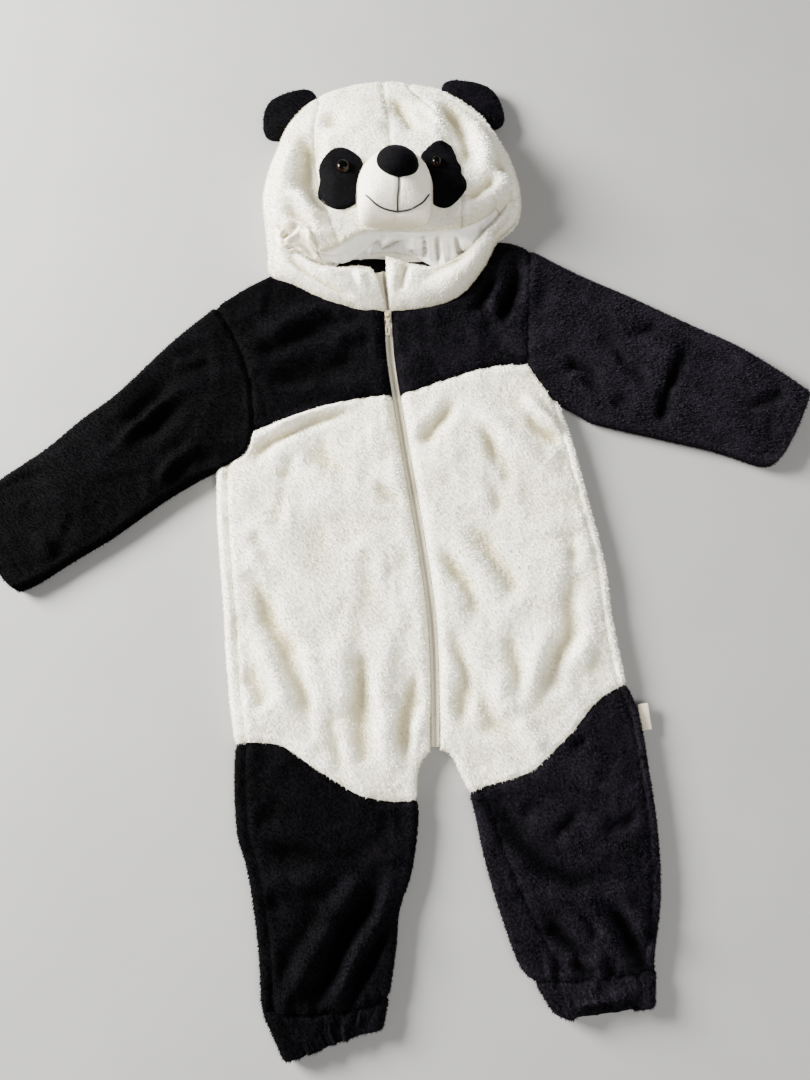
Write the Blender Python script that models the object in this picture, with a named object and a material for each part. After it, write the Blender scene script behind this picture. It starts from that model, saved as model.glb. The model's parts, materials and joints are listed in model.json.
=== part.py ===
"""Child's panda onesie with a hood, laid out flat on its back.

Every piece of cloth is a closed wall: an outer grid of points and an inner one, a wall's thickness in.
Sizes are millimetres in a plan frame whose Y runs from the ankles to the hood; Z is up from the surface.
"""
import math

import bmesh
import bpy
from mathutils import Vector
from mathutils.bvhtree import BVHTree

MM = 0.001
CENTRE = Vector((-11.5, 31.0))    # plan centre of the laid out garment, which becomes the origin

# ---- driving sizes, mm
PLUSH = 6.2           # padded wall: plush with its pile, and the lining behind it
SATIN = 1.6           # hood lining
ROLL = 7.0            # radius where the cloth turns over at a side
SEAM_GAP = 0.3        # between two pieces at a seam
LAYER_GAP = 0.4       # between an upper layer and the back beneath it
PUFF = 2.2            # how much higher the middle stands than the sides
PUFF_RUN = 55.0       # distance in from a side over which it rises
LIFT = 0.7            # what lies on a panel is this far out from it
SIDE_LIP = 11.0       # how far the back turns over to the front at the left side
NARROW_LIP = 9.0      # the same at the sides where the seam hides in the turn
ZIP_HALF = 4.5        # half the zip that shows between the plush edges
ZIP_DIP = 3.2         # how far the plush dips at the zip
TAPE_DROP = 3.4       # tape's face below the plush
TAPE = 1.2
TAPE_LEAST = 9.0      # its least height, over the turned edge of the crotch
COIL_HALF = 1.7
COIL_RISE = 1.2
HEM = 16.0            # depth of the wrist hem
HEM_RISE = 0.9
GATHERS = 9           # on the upper side of an ankle cuff
GATHER = 1.5          # half height of a gather
ANGLES = (0.0, 45.0)  # stations on the turn between its side and its top or bottom

# ---- plan curves, mm: x, y
UNDERARM_LEFT = [(-193, 71), (-171, 84), (-161, 94), (-156, 112)]
ARMHOLE_LEFT = [(-156, 112), (-159, 146), (-165, 176), (-180, 215), (-203, 254)]
SHOULDER_LEFT = [(-203, 254), (-173, 275), (-145, 291)]
SLEEVE_LEFT_TOP = [(-203, 254), (-248, 213), (-301, 156), (-336, 127), (-370, 95), (-415, 61), (-447, 31)]
SLEEVE_LEFT_UNDER = [(-193, 71), (-214, 59), (-245, 39), (-295, 1), (-335, -25), (-366, -46), (-384, -55)]
WRIST_LEFT = [(-384, -55), (-395, -47), (-407, -33), (-430, 2), (-447, 31)]
SIDE_LEFT = [(-162, -202), (-169, -163), (-176, -106), (-179, -73), (-184, -33), (-190, 21), (-193, 71)]
YOKE_SEAM_LEFT = [(-156, 112), (-117, 127), (-70, 143), (-42, 148), (-13.5, 151)]
LEG_SEAM_LEFT = [(-162, -202), (-150, -200), (-127, -201), (-113, -205), (-87, -222), (-59, -239),
                 (-42, -248), (-12, -254), (12, -252)]
LEG_LEFT_OUTSIDE = [(-129, -434), (-134, -380), (-146, -317), (-157, -284), (-162, -235), (-162, -202)]
LEG_LEFT_INSIDE = [(-14, -422), (-8, -380), (-5, -349), (6, -317), (12, -276), (12, -252)]
ANKLE_LEFT_TOP = [(-129, -434), (-67, -434), (-14, -422)]
ANKLE_LEFT_END = [(-107, -476), (-98, -473), (-63, -461), (-42, -454), (-20, -449)]
ARCH_LEFT = [(12, -252), (12, -231), (16, -218), (24.5, -207)]

UNDERARM_RIGHT = [(161, 144), (152, 150), (141, 167), (128, 186)]
ARMHOLE_RIGHT = [(128, 186), (130, 225), (132, 259), (134, 290), (136, 321)]
SHOULDER_RIGHT = [(136, 321), (117, 329), (101, 331)]
SLEEVE_RIGHT_TOP = [(136, 321), (189, 291), (231, 271), (272, 250), (313, 229), (353, 209), (393, 182),
                    (425, 157)]
SLEEVE_RIGHT_UNDER = [(161, 144), (182, 131), (198, 122), (246, 110), (283, 101), (316, 93), (343, 84),
                      (365, 76), (379, 77)]
WRIST_RIGHT = [(379, 77), (390, 89), (403, 110), (416, 136), (425, 157)]
SIDE_RIGHT = [(215, -144), (205, -83), (200, -26), (187, 38), (174, 98), (161, 144)]
YOKE_SEAM_RIGHT = [(-4.5, 152), (17, 158), (47, 169), (88, 182), (128, 186)]
LEG_SEAM_RIGHT = [(61, -247), (73, -241), (116, -228), (135, -213), (161, -189), (186, -161), (215, -144)]
LEG_RIGHT_INSIDE = [(117, -410), (104, -396), (87, -350), (74, -304), (66, -265), (61, -247)]
LEG_RIGHT_OUTSIDE = [(228, -399), (227, -388), (236, -337), (237, -281), (232, -224), (226, -175),
                     (215, -144)]
ANKLE_RIGHT_TOP = [(117, -410), (175, -405), (228, -399)]
ANKLE_RIGHT_END = [(133, -436), (150, -441), (183, -438), (225, -431)]
ARCH_RIGHT = [(61, -247), (52, -228), (45, -213), (33.5, -206)]

ZIP_AT_YOKE = (-9, 151.5)
ARCH_TOP = -200.0     # where the centre back seam starts
ZIP_UP = [(-19.3, 262), (-19.2, 276)]   # between the chin edges
ZIP_TIP_HALF = 2.0
ZIP_START = 2.0       # tape's lower end above the crotch
ZIP = [(29, -206), (29, -138), (26, -76), (15, 4), (3, 76), (-9, 151), (-15.5, 197), (-18.5, 248)]
BACK_NECK = [(-145, 291), (-118, 303), (-80, 309), (-35, 313), (10, 309), (60, 317), (101, 331)]

# ---- back seam lip along the right leg's inside, from ankle to crotch, mm
INSEAM_LIP = [33.0, 30.0, 24.0, 19.0, 14.0, 12.0]

# ---- hood sections, from the zip round the left side, over the top and back to the zip, mm
# x_out, y_out: side or neck seam end; x_in, y_in: face opening end; roll: radius of the turn, 0 at
# the neck seam; mid: height half way; edge: height at the opening; bend: sideways bow of the section
HOOD = [
    (-23.5, 248, -21, 288, 0, 26, 19, 0),
    (-47, 248, -48, 291, 0, 29, 18, 0),
    (-80, 258, -72, 292, 0, 30, 17, 0),
    (-113, 275, -93, 298, 0, 29, 17, 0),
    (-145, 291, -113, 312, 7, 27, 19, 0),
    (-149, 318, -125, 322, 10, 29, 23, 0),
    (-152, 345, -131, 330, 13, 34, 28, 0),
    (-155, 376, -121, 325, 16, 42, 34, 0),
    (-150, 405, -110, 320, 18, 46, 37, 0),
    (-141, 434, -99, 312, 18, 48, 38, -4),
    (-127, 470, -88, 305, 17, 49, 39, -10),
    (-98, 504, -74, 305, 15, 49, 40, -14),
    (-62, 520, -50, 319, 14, 51, 42, -6),
    (-26, 527, -12, 322, 13, 51, 43, 2),
    (-12, 526, 25, 321, 13, 51, 43, 10),
    (2, 524, 60, 326, 13, 49, 41, 18),
    (40, 514, 72, 332, 14, 47, 40, 12),
    (80, 483, 84, 343, 16, 46, 38, 4),
    (103, 448, 91, 349, 17, 44, 36, 0),
    (119, 415, 97, 357, 16, 40, 33, 0),
    (127, 380, 102, 355, 14, 34, 28, 0),
    (122, 352, 96, 345, 10, 30, 24, 0),
    (101, 331, 80, 329, 7, 28, 21, 0),
    (86, 300, 61, 311, 0, 29, 19, 0),
    (60, 265, 33, 297, 0, 30, 18, 0),
    (24, 250, 8, 296, 0, 29, 19, 0),
    (-14, 248, -19, 301, 0, 26, 22, 0),
]
SUB = 2               # sections made between one table row and the next
NECK_LEFT, SEAM_LEFT, TOP_LEFT, TOP_MID, TOP_RIGHT, SEAM_RIGHT, NECK_RIGHT = 4, 6, 11, 13, 15, 20, 22
CREST = 0.5           # where along a section its middle height lies

# ---- face, mm
# an eye patch: its centre, then its reach from there at each angle, degrees
PATCH_LEFT = ((-69, 383), [(0, 23), (45, 30), (90, 34), (130, 29), (180, 22), (225, 30), (270, 37),
                           (320, 34)])
PATCH_RIGHT = ((41, 388), [(0, 19), (40, 21), (90, 36), (135, 31), (180, 20), (225, 33), (270, 40),
                           (320, 30)])
PATCH = 3.0
MUZZLE_CENTRE = (-11, 366.0)
MUZZLE_HALF = (39.5, 40.0)
MUZZLE_ROUND = 2.0    # 2 is an ellipse, as its upper half is
MUZZLE_SQUARE = 4.5   # its lower half runs down square to the brim
MUZZLE_RISE = 31.0
MUZZLE_RIM = 5.0
MUZZLE_CLEAR = 1.2    # between it and an eye patch
MUZZLE_CELLS = 10
FINE = 200            # steps in which the clear stretch is looked for
NOSE_CENTRE = (-7, 379)
NOSE_HALF = (21.5, 12.0)
NOSE_TILT = -16.0
NOSE_RISE = 8.0
NOSE_RIM = 2.0
EYES = {"left": (-65.5, 392), "right": (33, 396.5)}
EYE_HALF = 7.0
EYE_RISE = 4.5
EYE_RIM = 1.2
EAR_LENGTH = 46.0
EAR_HALF = 6.0
EAR_THIN = 1.2        # half its thickness along its edge
EAR_BOW = 10.0        # how far its sides bow out past its root
EAR_SIDE = (8, 20, 32, 44)    # angles of its right side's stations, degrees; the left's mirror them

# ---- zip slider and pull, mm
SLIDER_Y = 243.5
SLIDER_LENGTH = 12.0
SLIDER_WIDTH = 7.4
SLIDER_THICK = 2.2
BRIDGE_WIDTH = 1.8
BRIDGE_LENGTH = 5.6
BRIDGE_BAR = 0.8      # thickness of its posts and top
EYE_CLEAR = 0.5       # round the pull's bar
PULL_LENGTH = 24.0
PULL_WIDTH = 5.0
PULL_THICK = 1.2
PULL_WINDOW = 4.0
PULL_CLEAR = 0.5
PULL_DROOP = 4.0      # degrees its tail hangs at rest

LABEL = ((226.6, -176.0), 10.0, 25.0, 0.9)   # inner end, width, length, thickness
LABEL_TURN = 6.0
CORNER = 12.0         # stretch of the back neck seam at each end that the hood's first section takes
CUFF_RISE = 2.4
TUCK = 5.4            # the right chin band's corner goes this far under the side panel's
REACH = 3.0           # round a spot whose height is looked for
DROP = 400.0          # height that spots are looked for from
EAR_DROOP = 6.0
LINING_LEFT = [(-126, 338), (-118, 360), (-104, 388)]
LINING_RIGHT = [(92, 338), (90, 362), (78, 388)]
LINING_EDGE = [(-126, 338), (-108, 316), (-76, 311), (-47, 314), (-16, 316), (16, 310), (40, 312),
               (66, 322), (92, 338)]
LINING_TOP = [(-104, 388), (-60, 400), (-12, 404), (36, 400), (78, 388)]

# ---- how finely the pieces are made: cells along or across
SIDE_CELLS = 12
LEG_CELLS = 8
ARCH_CELLS = 3
SLEEVE_CELLS = 11
ARM_CELLS = 3
YOKE_CELLS = 6
FRONT_CELLS = 12
BACK_CELLS = 4
CUFF_CELLS = 2
CUFF_COLUMNS = 27
ZIP_CELLS = 18
ZIP_SAMPLES = 12
CHIN_SHARES = (0.0, 0.25, 0.5, 0.8, 1.0)
FACE_SHARES = (0.0, 0.1, 0.22, 0.36, 0.5, 0.64, 0.8, 0.93, 1.0)
EAR_LEFT = (19, 22)
EAR_RIGHT = (32, 35)

# ---- finishes: colour, roughness, metallic
FINISHES = {
    "ivory plush": ((0.86, 0.84, 0.79), 0.95, 0.0),
    "black plush": ((0.012, 0.011, 0.014), 0.9, 0.0),
    "white satin": ((0.82, 0.83, 0.84), 0.45, 0.0),
    "beige tape": ((0.62, 0.57, 0.47), 0.8, 0.0),
    "painted metal": ((0.66, 0.6, 0.5), 0.4, 0.6),
    "brown plastic": ((0.05, 0.02, 0.01), 0.15, 0.0),
    "cream label": ((0.78, 0.74, 0.66), 0.85, 0.0),
}


# ---------------------------------------------------------------- plan geometry
def through(points, cells, skip=(0.0, 0.0)):
    """Evenly spaced points on a smooth curve through the given ones, less a stretch at each end."""
    p = [Vector(q) for q in points]
    p = [2 * p[0] - p[1]] + p + [2 * p[-1] - p[-2]]
    dense = []
    for a, b, c, d in zip(p, p[1:], p[2:], p[3:]):
        for k in range(24):
            t = k / 24
            dense.append(0.5 * (2 * b + (c - a) * t + (2 * a - 5 * b + 4 * c - d) * t * t
                                + (3 * b - a - 3 * c + d) * t ** 3))
    dense.append(p[-2])
    return along(dense, cells, skip)


def along(dense, cells, skip=(0.0, 0.0)):
    """Evenly spaced points on a polyline, less a stretch at each end."""
    run = [0.0]
    for a, b in zip(dense, dense[1:]):
        run.append(run[-1] + (b - a).length)
    span = run[-1] - skip[0] - skip[1]
    out = []
    k = 0
    for i in range(cells + 1):
        s = skip[0] + span * i / cells
        while k < len(run) - 2 and run[k + 1] < s:
            k += 1
        t = (s - run[k]) / (run[k + 1] - run[k])
        out.append(dense[k].lerp(dense[k + 1], min(max(t, 0.0), 1.0)))
    return out


def inset(side, depth, first, last, facing):
    """A side's points moved square to it into the cloth; its two ends are given."""
    out = [first]
    for j in range(1, len(side) - 1):
        run = (side[j + 1] - side[j - 1]).normalized()
        reach = depth if isinstance(depth, float) else depth[j]
        out.append(side[j] + Vector((-run.y, run.x)) * facing * reach)
    return out + [last]


def patch(left, right, bottom, top):
    """Grid of plan points between four edges; rows run from left to right."""
    rows, columns = len(left) - 1, len(bottom) - 1
    grid = []
    for j in range(rows + 1):
        v = j / rows
        line = []
        for i in range(columns + 1):
            u = i / columns
            corners = ((1 - u) * (1 - v) * bottom[0] + u * (1 - v) * bottom[-1]
                       + (1 - u) * v * top[0] + u * v * top[-1])
            line.append((1 - v) * bottom[i] + v * top[i] + (1 - u) * left[j] + u * right[j] - corners)
        grid.append(line)
    return grid


def distance(lines, spot):
    """Plan distance from a spot to the nearest of some polylines."""
    best = 1e9
    for line in lines:
        for a, b in zip(line, line[1:]):
            ab = b - a
            t = min(max((spot - a).dot(ab) / ab.length_squared, 0.0), 1.0)
            best = min(best, (spot - a - ab * t).length)
    return best


def smooth(t):
    t = min(max(t, 0.0), 1.0)
    return t * t * (3 - 2 * t)


# ---------------------------------------------------------------- solids
def finish(name):
    material = bpy.data.materials.get(name)
    if material is None:
        colour, roughness, metallic = FINISHES[name]
        material = bpy.data.materials.new(name)
        material.use_nodes = True
        shader = material.node_tree.nodes["Principled BSDF"]
        shader.inputs["Base Color"].default_value = (*colour, 1.0)
        shader.inputs["Roughness"].default_value = roughness
        shader.inputs["Metallic"].default_value = metallic
    return material


def place(spot, z):
    """Metres in the part's own frame from a plan point and a height in millimetres."""
    return Vector(((spot[0] - CENTRE.x) * MM, (spot[1] - CENTRE.y) * MM, z * MM))


def add_object(name, bm, surface):
    """Object from a bmesh, faces outwards, in the garment's collection."""
    bmesh.ops.recalc_face_normals(bm, faces=bm.faces[:])
    if bm.calc_volume(signed=True) < 0:
        bmesh.ops.reverse_faces(bm, faces=bm.faces[:])
    mesh = bpy.data.meshes.new(name)
    bm.to_mesh(mesh)
    bm.free()
    mesh.shade_smooth()
    mesh.set_sharp_from_angle(angle=math.radians(50))
    mesh.materials.append(finish(surface))
    obj = bpy.data.objects.new(name, mesh)
    bpy.data.collections["Panda onesie"].objects.link(obj)
    return obj


def wall(name, rows, surface, ring=False):
    """Closed wall from rows of (outer, inner) points; a ring's last column meets its first."""
    columns = len(rows[0])
    bm = bmesh.new()
    bmesh.ops.create_grid(bm, x_segments=columns if ring else columns - 1, y_segments=len(rows) - 1, size=1)
    bm.verts.ensure_lookup_table()
    across = columns + 1 if ring else columns
    spots = {}
    for k, vert in enumerate(bm.verts):
        vert.co = (k % across, k // across, 0.0)
    if ring:
        first = [v for v in bm.verts if round(v.co.x) == 0]
        last = [v for v in bm.verts if round(v.co.x) == columns]
        bmesh.ops.weld_verts(bm, targetmap=dict(zip(last, first)))
    for vert in bm.verts:
        spots[vert] = (round(vert.co.y), round(vert.co.x), 0)
    grown = bmesh.ops.extrude_face_region(bm, geom=bm.faces[:])
    for vert in grown["geom"]:
        if isinstance(vert, bmesh.types.BMVert):
            spots[vert] = (round(vert.co.y), round(vert.co.x), 1)
    for vert, (j, i, side) in spots.items():
        vert.co = rows[j][i][side]
    return add_object(name, bm, surface)


def gapped(rows, first=True, last=True, start=True, end=True):
    """Rows with the edges named drawn back by half the seam gap."""
    half = 0.5 * SEAM_GAP * MM

    def back(pair, inner):
        shift = inner[0] - pair[0]
        shift.z = 0.0
        shift.normalize()
        return (pair[0] + shift * half, pair[1] + shift * half)
    out = [list(row) for row in rows]
    if first:
        out[0] = [back(p, q) for p, q in zip(rows[0], rows[1])]
    if last:
        out[-1] = [back(p, q) for p, q in zip(rows[-1], rows[-2])]
    for j, row in enumerate(out):
        if start:
            row[0] = back(row[0], row[1])
        if end:
            row[-1] = back(row[-1], row[-2])
    return out


def top_pair(spot, height, thick=PLUSH):
    """Pair on an upper layer, thinned where it would press into the back beneath it."""
    return (place(spot, height), place(spot, max(height - thick, PLUSH + LAYER_GAP)))


def under_pair(spot, thick=PLUSH):
    return (place(spot, 0.0), place(spot, thick))


def turn(edge, inward, radius, angles, thick=PLUSH, gap=0.0):
    """Pairs on a turn of the cloth at a side; angles are 0 at the side, 90 on top, -90 underneath."""
    pairs = []
    for angle in angles:
        c, s = math.cos(math.radians(angle)), math.sin(math.radians(angle))
        pairs.append(tuple(place(edge + inward * (radius - r * c), radius + r * s + gap)
                           for r in (radius, radius - thick)))
    return pairs


# ---------------------------------------------------------------- outline, worked out once
class Outline:
    """Sampled curves that neighbouring pieces share."""

    def __init__(self):
        self.side = {"left": through(SIDE_LEFT, SIDE_CELLS), "right": through(SIDE_RIGHT, SIDE_CELLS)}
        self.leg_out = {"left": through(LEG_LEFT_OUTSIDE, LEG_CELLS),
                        "right": through(LEG_RIGHT_OUTSIDE, LEG_CELLS)}
        self.leg_in = {"left": through(LEG_LEFT_INSIDE, LEG_CELLS),
                       "right": through(LEG_RIGHT_INSIDE, LEG_CELLS)}
        self.arch = {"left": through(ARCH_LEFT, ARCH_CELLS), "right": through(ARCH_RIGHT, ARCH_CELLS)}
        self.sleeve_top = {"left": sleeve_side(SLEEVE_LEFT_TOP), "right": sleeve_side(SLEEVE_RIGHT_TOP)}
        self.sleeve_under = {"left": sleeve_side(SLEEVE_LEFT_UNDER), "right": sleeve_side(SLEEVE_RIGHT_UNDER)}
        self.shoulder = {"left": through(SHOULDER_LEFT, 3), "right": through(SHOULDER_RIGHT, 3)}
        self.zip = through(ZIP, 40)
        self.edges = [line for group in (self.side, self.leg_out, self.leg_in, self.arch, self.sleeve_top,
                                         self.sleeve_under, self.shoulder) for line in group.values()]
        self.edges.append([self.arch["left"][-1], self.arch["right"][-1]])
        self.arm = {
            "left": through(UNDERARM_LEFT, ARM_CELLS, (SIDE_LIP, 0.0)),
            "right": through(UNDERARM_RIGHT, ARM_CELLS, (NARROW_LIP, 0.0)),
        }
        self.armhole = {
            "left": through(ARMHOLE_LEFT, YOKE_CELLS, (0.0, ROLL)),
            "right": through(ARMHOLE_RIGHT, YOKE_CELLS, (0.0, ROLL)),
        }

    def height(self, spot):
        """Top of the body, sleeves and legs at a plan point."""
        away = distance(self.edges, spot)
        puff = PUFF * smooth((away - ROLL) / PUFF_RUN)
        dip = ZIP_DIP * math.exp(-(max(distance([self.zip], spot) - ZIP_HALF, 0.0) / 4.0) ** 2)
        return 2 * ROLL + puff - dip

    def top_line(self, side):
        """Belly front's upper seam from its side to near the zip: armhole part, then yoke part."""
        table = YOKE_SEAM_LEFT if side == "left" else YOKE_SEAM_RIGHT[::-1]
        return self.arm[side] + through(table, FRONT_CELLS - ARM_CELLS, (0.0, ROLL))[1:]

    def bottom_line(self, side):
        """Belly front's lower seam from its side to near the crotch arch."""
        if side == "left":
            return through(LEG_SEAM_LEFT, FRONT_CELLS, (SIDE_LIP, ROLL))
        table = LEG_SEAM_RIGHT[::-1]
        leg_part = through(table, FRONT_CELLS - 1, (NARROW_LIP, INSEAM_LIP[-1]))
        return leg_part + [through(table, 1, (0.0, ROLL))[1]]

    def back_top(self, side):
        """Belly back's upper seam from the turn at its side to near the centre back."""
        under = UNDERARM_LEFT if side == "left" else UNDERARM_RIGHT
        table = (YOKE_SEAM_LEFT[:-1] if side == "left" else YOKE_SEAM_RIGHT[:0:-1]) + [ZIP_AT_YOKE]
        corner = through(under, 1, (ROLL, 0.0))[0]
        return [corner] + self.arm[side] + through(table, BACK_CELLS, (0.0, ROLL))[1:]

    def back_bottom(self, side):
        """Belly back's lower seam, cell for cell with its upper one."""
        table = LEG_SEAM_LEFT if side == "left" else LEG_SEAM_RIGHT[::-1]
        return through(table, BACK_CELLS + ARM_CELLS + 1, (ROLL, ROLL))


def sleeve_side(table):
    """A sleeve's edge from armhole to wrist, with a station where the hem begins."""
    return through(table, SLEEVE_CELLS - 1, (0.0, HEM)) + [Vector(table[-1])]


def split(line, parts):
    """The same polyline with each stretch cut into equal parts."""
    out = [line[0]]
    for a, b in zip(line, line[1:]):
        out += [a.lerp(b, k / parts) for k in range(1, parts + 1)]
    return out


def zip_edge(side, low, high, cells):
    """Plush edge beside the zip, from the arch up to a point given, in equal stretches."""
    sign = -1 if side == "left" else 1
    dense = through(ZIP, 60)
    inside = []
    for k in range(1, 60):
        run = (dense[k + 1] - dense[k - 1]).normalized()
        p = dense[k] + Vector((run.y, -run.x)) * sign * ZIP_HALF
        if low.y + 4.0 < p.y < high.y - 4.0:
            inside.append(p)
    return along([low] + inside + [high], cells)


def centre_back(cells):
    """Centre back seam from just above the arch to the yoke."""
    top = Vector(ZIP_AT_YOKE)
    inside = [p for p in through(ZIP, 60) if ARCH_TOP < p.y < top.y - 4.0]
    return along([Vector((ZIP[0][0], ARCH_TOP))] + inside + [top], cells)


# ---------------------------------------------------------------- body pieces
def panel(grid, edges, rolls, height):
    """Rows of a front panel whose last column ends in a turn, or in a plain edge where the roll is 0."""
    rows = []
    for line, edge, radius in zip(grid, edges, rolls):
        row = [top_pair(p, height(p)) for p in line]
        if edge is not None:
            reach = (edge - line[-1]).length
            inward = (line[-1] - edge).normalized()
            if radius > 0:
                cap = turn(edge, inward, radius, ANGLES, gap=0.5 * SEAM_GAP)
            else:
                spots = [edge + inward * reach * (1 - math.cos(math.radians(a))) for a in ANGLES]
                cap = [top_pair(p, height(p)) for p in spots]
            row += cap[::-1]
        rows.append(row)
    return rows


def back_panel(grid, sides, lips, edges, rolls, height):
    """Rows of a back panel: a lip over the turn at its side, the flat back, and a turn or plain edge."""
    rows = []
    for line, side, lip, edge, radius in zip(grid, sides, lips, edges, rolls):
        inward = (line[0] - side).normalized()
        row = [top_pair(lip, height(lip))] + turn(side, inward, ROLL, (90.0, 45.0, 0.0, -45.0))
        row += [under_pair(p) for p in line]
        if edge is not None:
            reach = (edge - line[-1]).length
            inward = (line[-1] - edge).normalized()
            if radius > 0:
                cap = turn(edge, inward, radius, [-a for a in ANGLES], gap=-0.5 * SEAM_GAP)
            else:
                cap = [under_pair(edge + inward * reach * (1 - math.cos(math.radians(a)))) for a in ANGLES]
            row += cap[::-1]
        rows.append(row)
    return rows


def belly(outline, side):
    """Front and back of the body's ivory middle, one side of the zip."""
    facing = -1 if side == "left" else 1
    lip = SIDE_LIP if side == "left" else NARROW_LIP
    bottom, top = outline.bottom_line(side), outline.top_line(side)
    outside = inset(outline.side[side], lip, bottom[0], top[0], facing)
    arch = outline.arch[side]
    yoke_end = Vector(YOKE_SEAM_LEFT[-1] if side == "left" else YOKE_SEAM_RIGHT[0])
    edge = arch + zip_edge(side, arch[-1], yoke_end, SIDE_CELLS - ARCH_CELLS)[1:]
    rolls = [ROLL] * (ARCH_CELLS + 1) + [0.0] * (SIDE_CELLS - ARCH_CELLS)
    grid = patch(outside, inset(edge, ROLL, bottom[-1], top[-1], -facing), bottom, top)
    wall("belly_front_" + side, gapped(panel(grid, edge, rolls, outline.height)), "ivory plush")

    low, high = outline.back_bottom(side), outline.back_top(side)
    edge = arch + centre_back(SIDE_CELLS - ARCH_CELLS - 1)
    flat = inset(outline.side[side], ROLL, low[0], high[0], facing)
    grid = patch(flat, inset(edge, ROLL, low[-1], high[-1], -facing), low, high)
    rows = back_panel(grid, outline.side[side], outside, edge, rolls, outline.height)
    wall("belly_back_" + side, gapped(rows), "ivory plush")


def leg_left(outline):
    """Front and back of the left leg; its inside edge is a plain turn."""
    ankle = through(ANKLE_LEFT_TOP, FRONT_CELLS, (SIDE_LIP, ROLL))
    seam = outline.bottom_line("left")
    outside = inset(outline.leg_out["left"], SIDE_LIP, ankle[0], seam[0], -1)
    edge = outline.leg_in["left"]
    inside = inset(edge, ROLL, ankle[-1], seam[-1], 1)
    grid = patch(outside, inside, ankle, seam)
    wall("leg_front_left", gapped(panel(grid, edge, [ROLL] * len(edge), outline.height)), "black plush")

    low, high = through(ANKLE_LEFT_TOP, BACK_CELLS + ARM_CELLS + 1, (ROLL, ROLL)), outline.back_bottom("left")
    inside = inset(edge, ROLL, low[-1], high[-1], 1)
    flat = inset(outline.leg_out["left"], ROLL, low[0], high[0], -1)
    rows = back_panel(patch(flat, inside, low, high), outline.leg_out["left"], outside, edge,
                      [ROLL] * len(edge), outline.height)
    wall("leg_back_left", gapped(rows), "black plush")


def leg_right(outline):
    """Front and back of the right leg; its back turns over to the front at both sides."""
    seam = outline.bottom_line("right")[:-1]
    cells = len(seam) - 1
    ankle = through(ANKLE_RIGHT_TOP[::-1], cells, (NARROW_LIP, INSEAM_LIP[0]))
    lips = [p[0] for p in through([(w, 0.0) for w in INSEAM_LIP], LEG_CELLS)]
    outside = inset(outline.leg_out["right"], NARROW_LIP, ankle[0], seam[0], 1)
    inside = inset(outline.leg_in["right"], lips, ankle[-1], seam[-1], -1)
    grid = patch(outside, inside, ankle, seam)
    empty = [None] * len(grid)
    wall("leg_front_right", gapped(panel(grid, empty, empty, outline.height)), "black plush")

    cells = BACK_CELLS + ARM_CELLS + 1
    low, high = through(ANKLE_RIGHT_TOP[::-1], cells, (ROLL, ROLL)), outline.back_bottom("right")
    flat = inset(outline.leg_out["right"], ROLL, low[0], high[0], 1)
    flat_in = inset(outline.leg_in["right"], ROLL, low[-1], high[-1], -1)
    grid = patch(flat, flat_in, low, high)
    empty = [None] * len(grid)
    rows = back_panel(grid, outline.leg_out["right"], outside, empty, empty, outline.height)
    for row, line, edge, lip in zip(rows, grid, outline.leg_in["right"], inside):
        inward = (line[-1] - edge).normalized()
        row += turn(edge, inward, ROLL, (-45.0, 0.0, 45.0, 90.0)) + [top_pair(lip, outline.height(lip))]
    wall("leg_back_right", gapped(rows), "black plush")


def yoke_front(outline, side):
    """Black yoke front, from armhole to zip; its rows run from the belly seam up to shoulder and neck."""
    left = side == "left"
    table = YOKE_SEAM_LEFT if left else YOKE_SEAM_RIGHT[::-1]
    seam = through(table, FRONT_CELLS - ARM_CELLS, (0.0, ROLL))
    end = Vector(table[-1])
    seam += [seam[-1].lerp(end, math.cos(math.radians(ANGLES[1]))), end]
    neck = [hood_section(k)["out"] for k in range(NECK_LEFT * SUB + 1)]
    if not left:
        neck = [hood_section(k)["out"] for k in range(len(HOOD) * SUB - SUB, NECK_RIGHT * SUB - 1, -1)]
    border = outline.shoulder[side] + neck[::-1][1:]
    rolls = [ROLL] * (len(outline.shoulder[side])) + [0.0] * (len(neck) - 1)
    first = outline.armhole[side]
    last = along(zip_edge(side, end, neck[0], ZIP_SAMPLES), YOKE_CELLS, (0.0, ROLL))
    inner = inset(border, ROLL, first[-1], last[-1], -1 if left else 1)
    grid = patch(seam, inner, first, last)
    wall("yoke_front_" + side, gapped(panel(grid, border, rolls, outline.height)), "black plush")


def yoke_back(outline, neck_line):
    """Black yoke back from armhole to armhole."""
    seam = []
    for side in ("left", "right"):
        table = (YOKE_SEAM_LEFT[:-1] if side == "left" else YOKE_SEAM_RIGHT[:0:-1]) + [ZIP_AT_YOKE]
        line = through(table, BACK_CELLS, (0.0, ROLL))
        end = Vector(ZIP_AT_YOKE)
        line += [line[-1].lerp(end, math.cos(math.radians(ANGLES[1]))), end]
        seam = line if side == "left" else seam + line[::-1][1:]
    border = outline.shoulder["left"] + neck_line[1:-1] + outline.shoulder["right"][::-1]
    n_neck = len(neck_line) - 2
    rolls = [ROLL] * 4 + [0.0] * n_neck + [ROLL] * 4
    first, last = outline.armhole["left"], outline.armhole["right"]
    inner = inset(border, ROLL, first[-1], last[-1], -1)
    rows = []
    for line, edge, radius in zip(patch(seam, inner, first, last), border, rolls):
        row = [under_pair(p) for p in line]
        inward = (line[-1] - edge).normalized()
        if radius > 0:
            cap = turn(edge, inward, radius, [-a for a in ANGLES], gap=-0.5 * SEAM_GAP)
        else:
            reach = (edge - line[-1]).length
            cap = [under_pair(edge + inward * reach * (1 - math.cos(math.radians(a)))) for a in ANGLES]
        rows.append(row + cap[::-1])
    wall("yoke_back", gapped(rows), "black plush")


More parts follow.
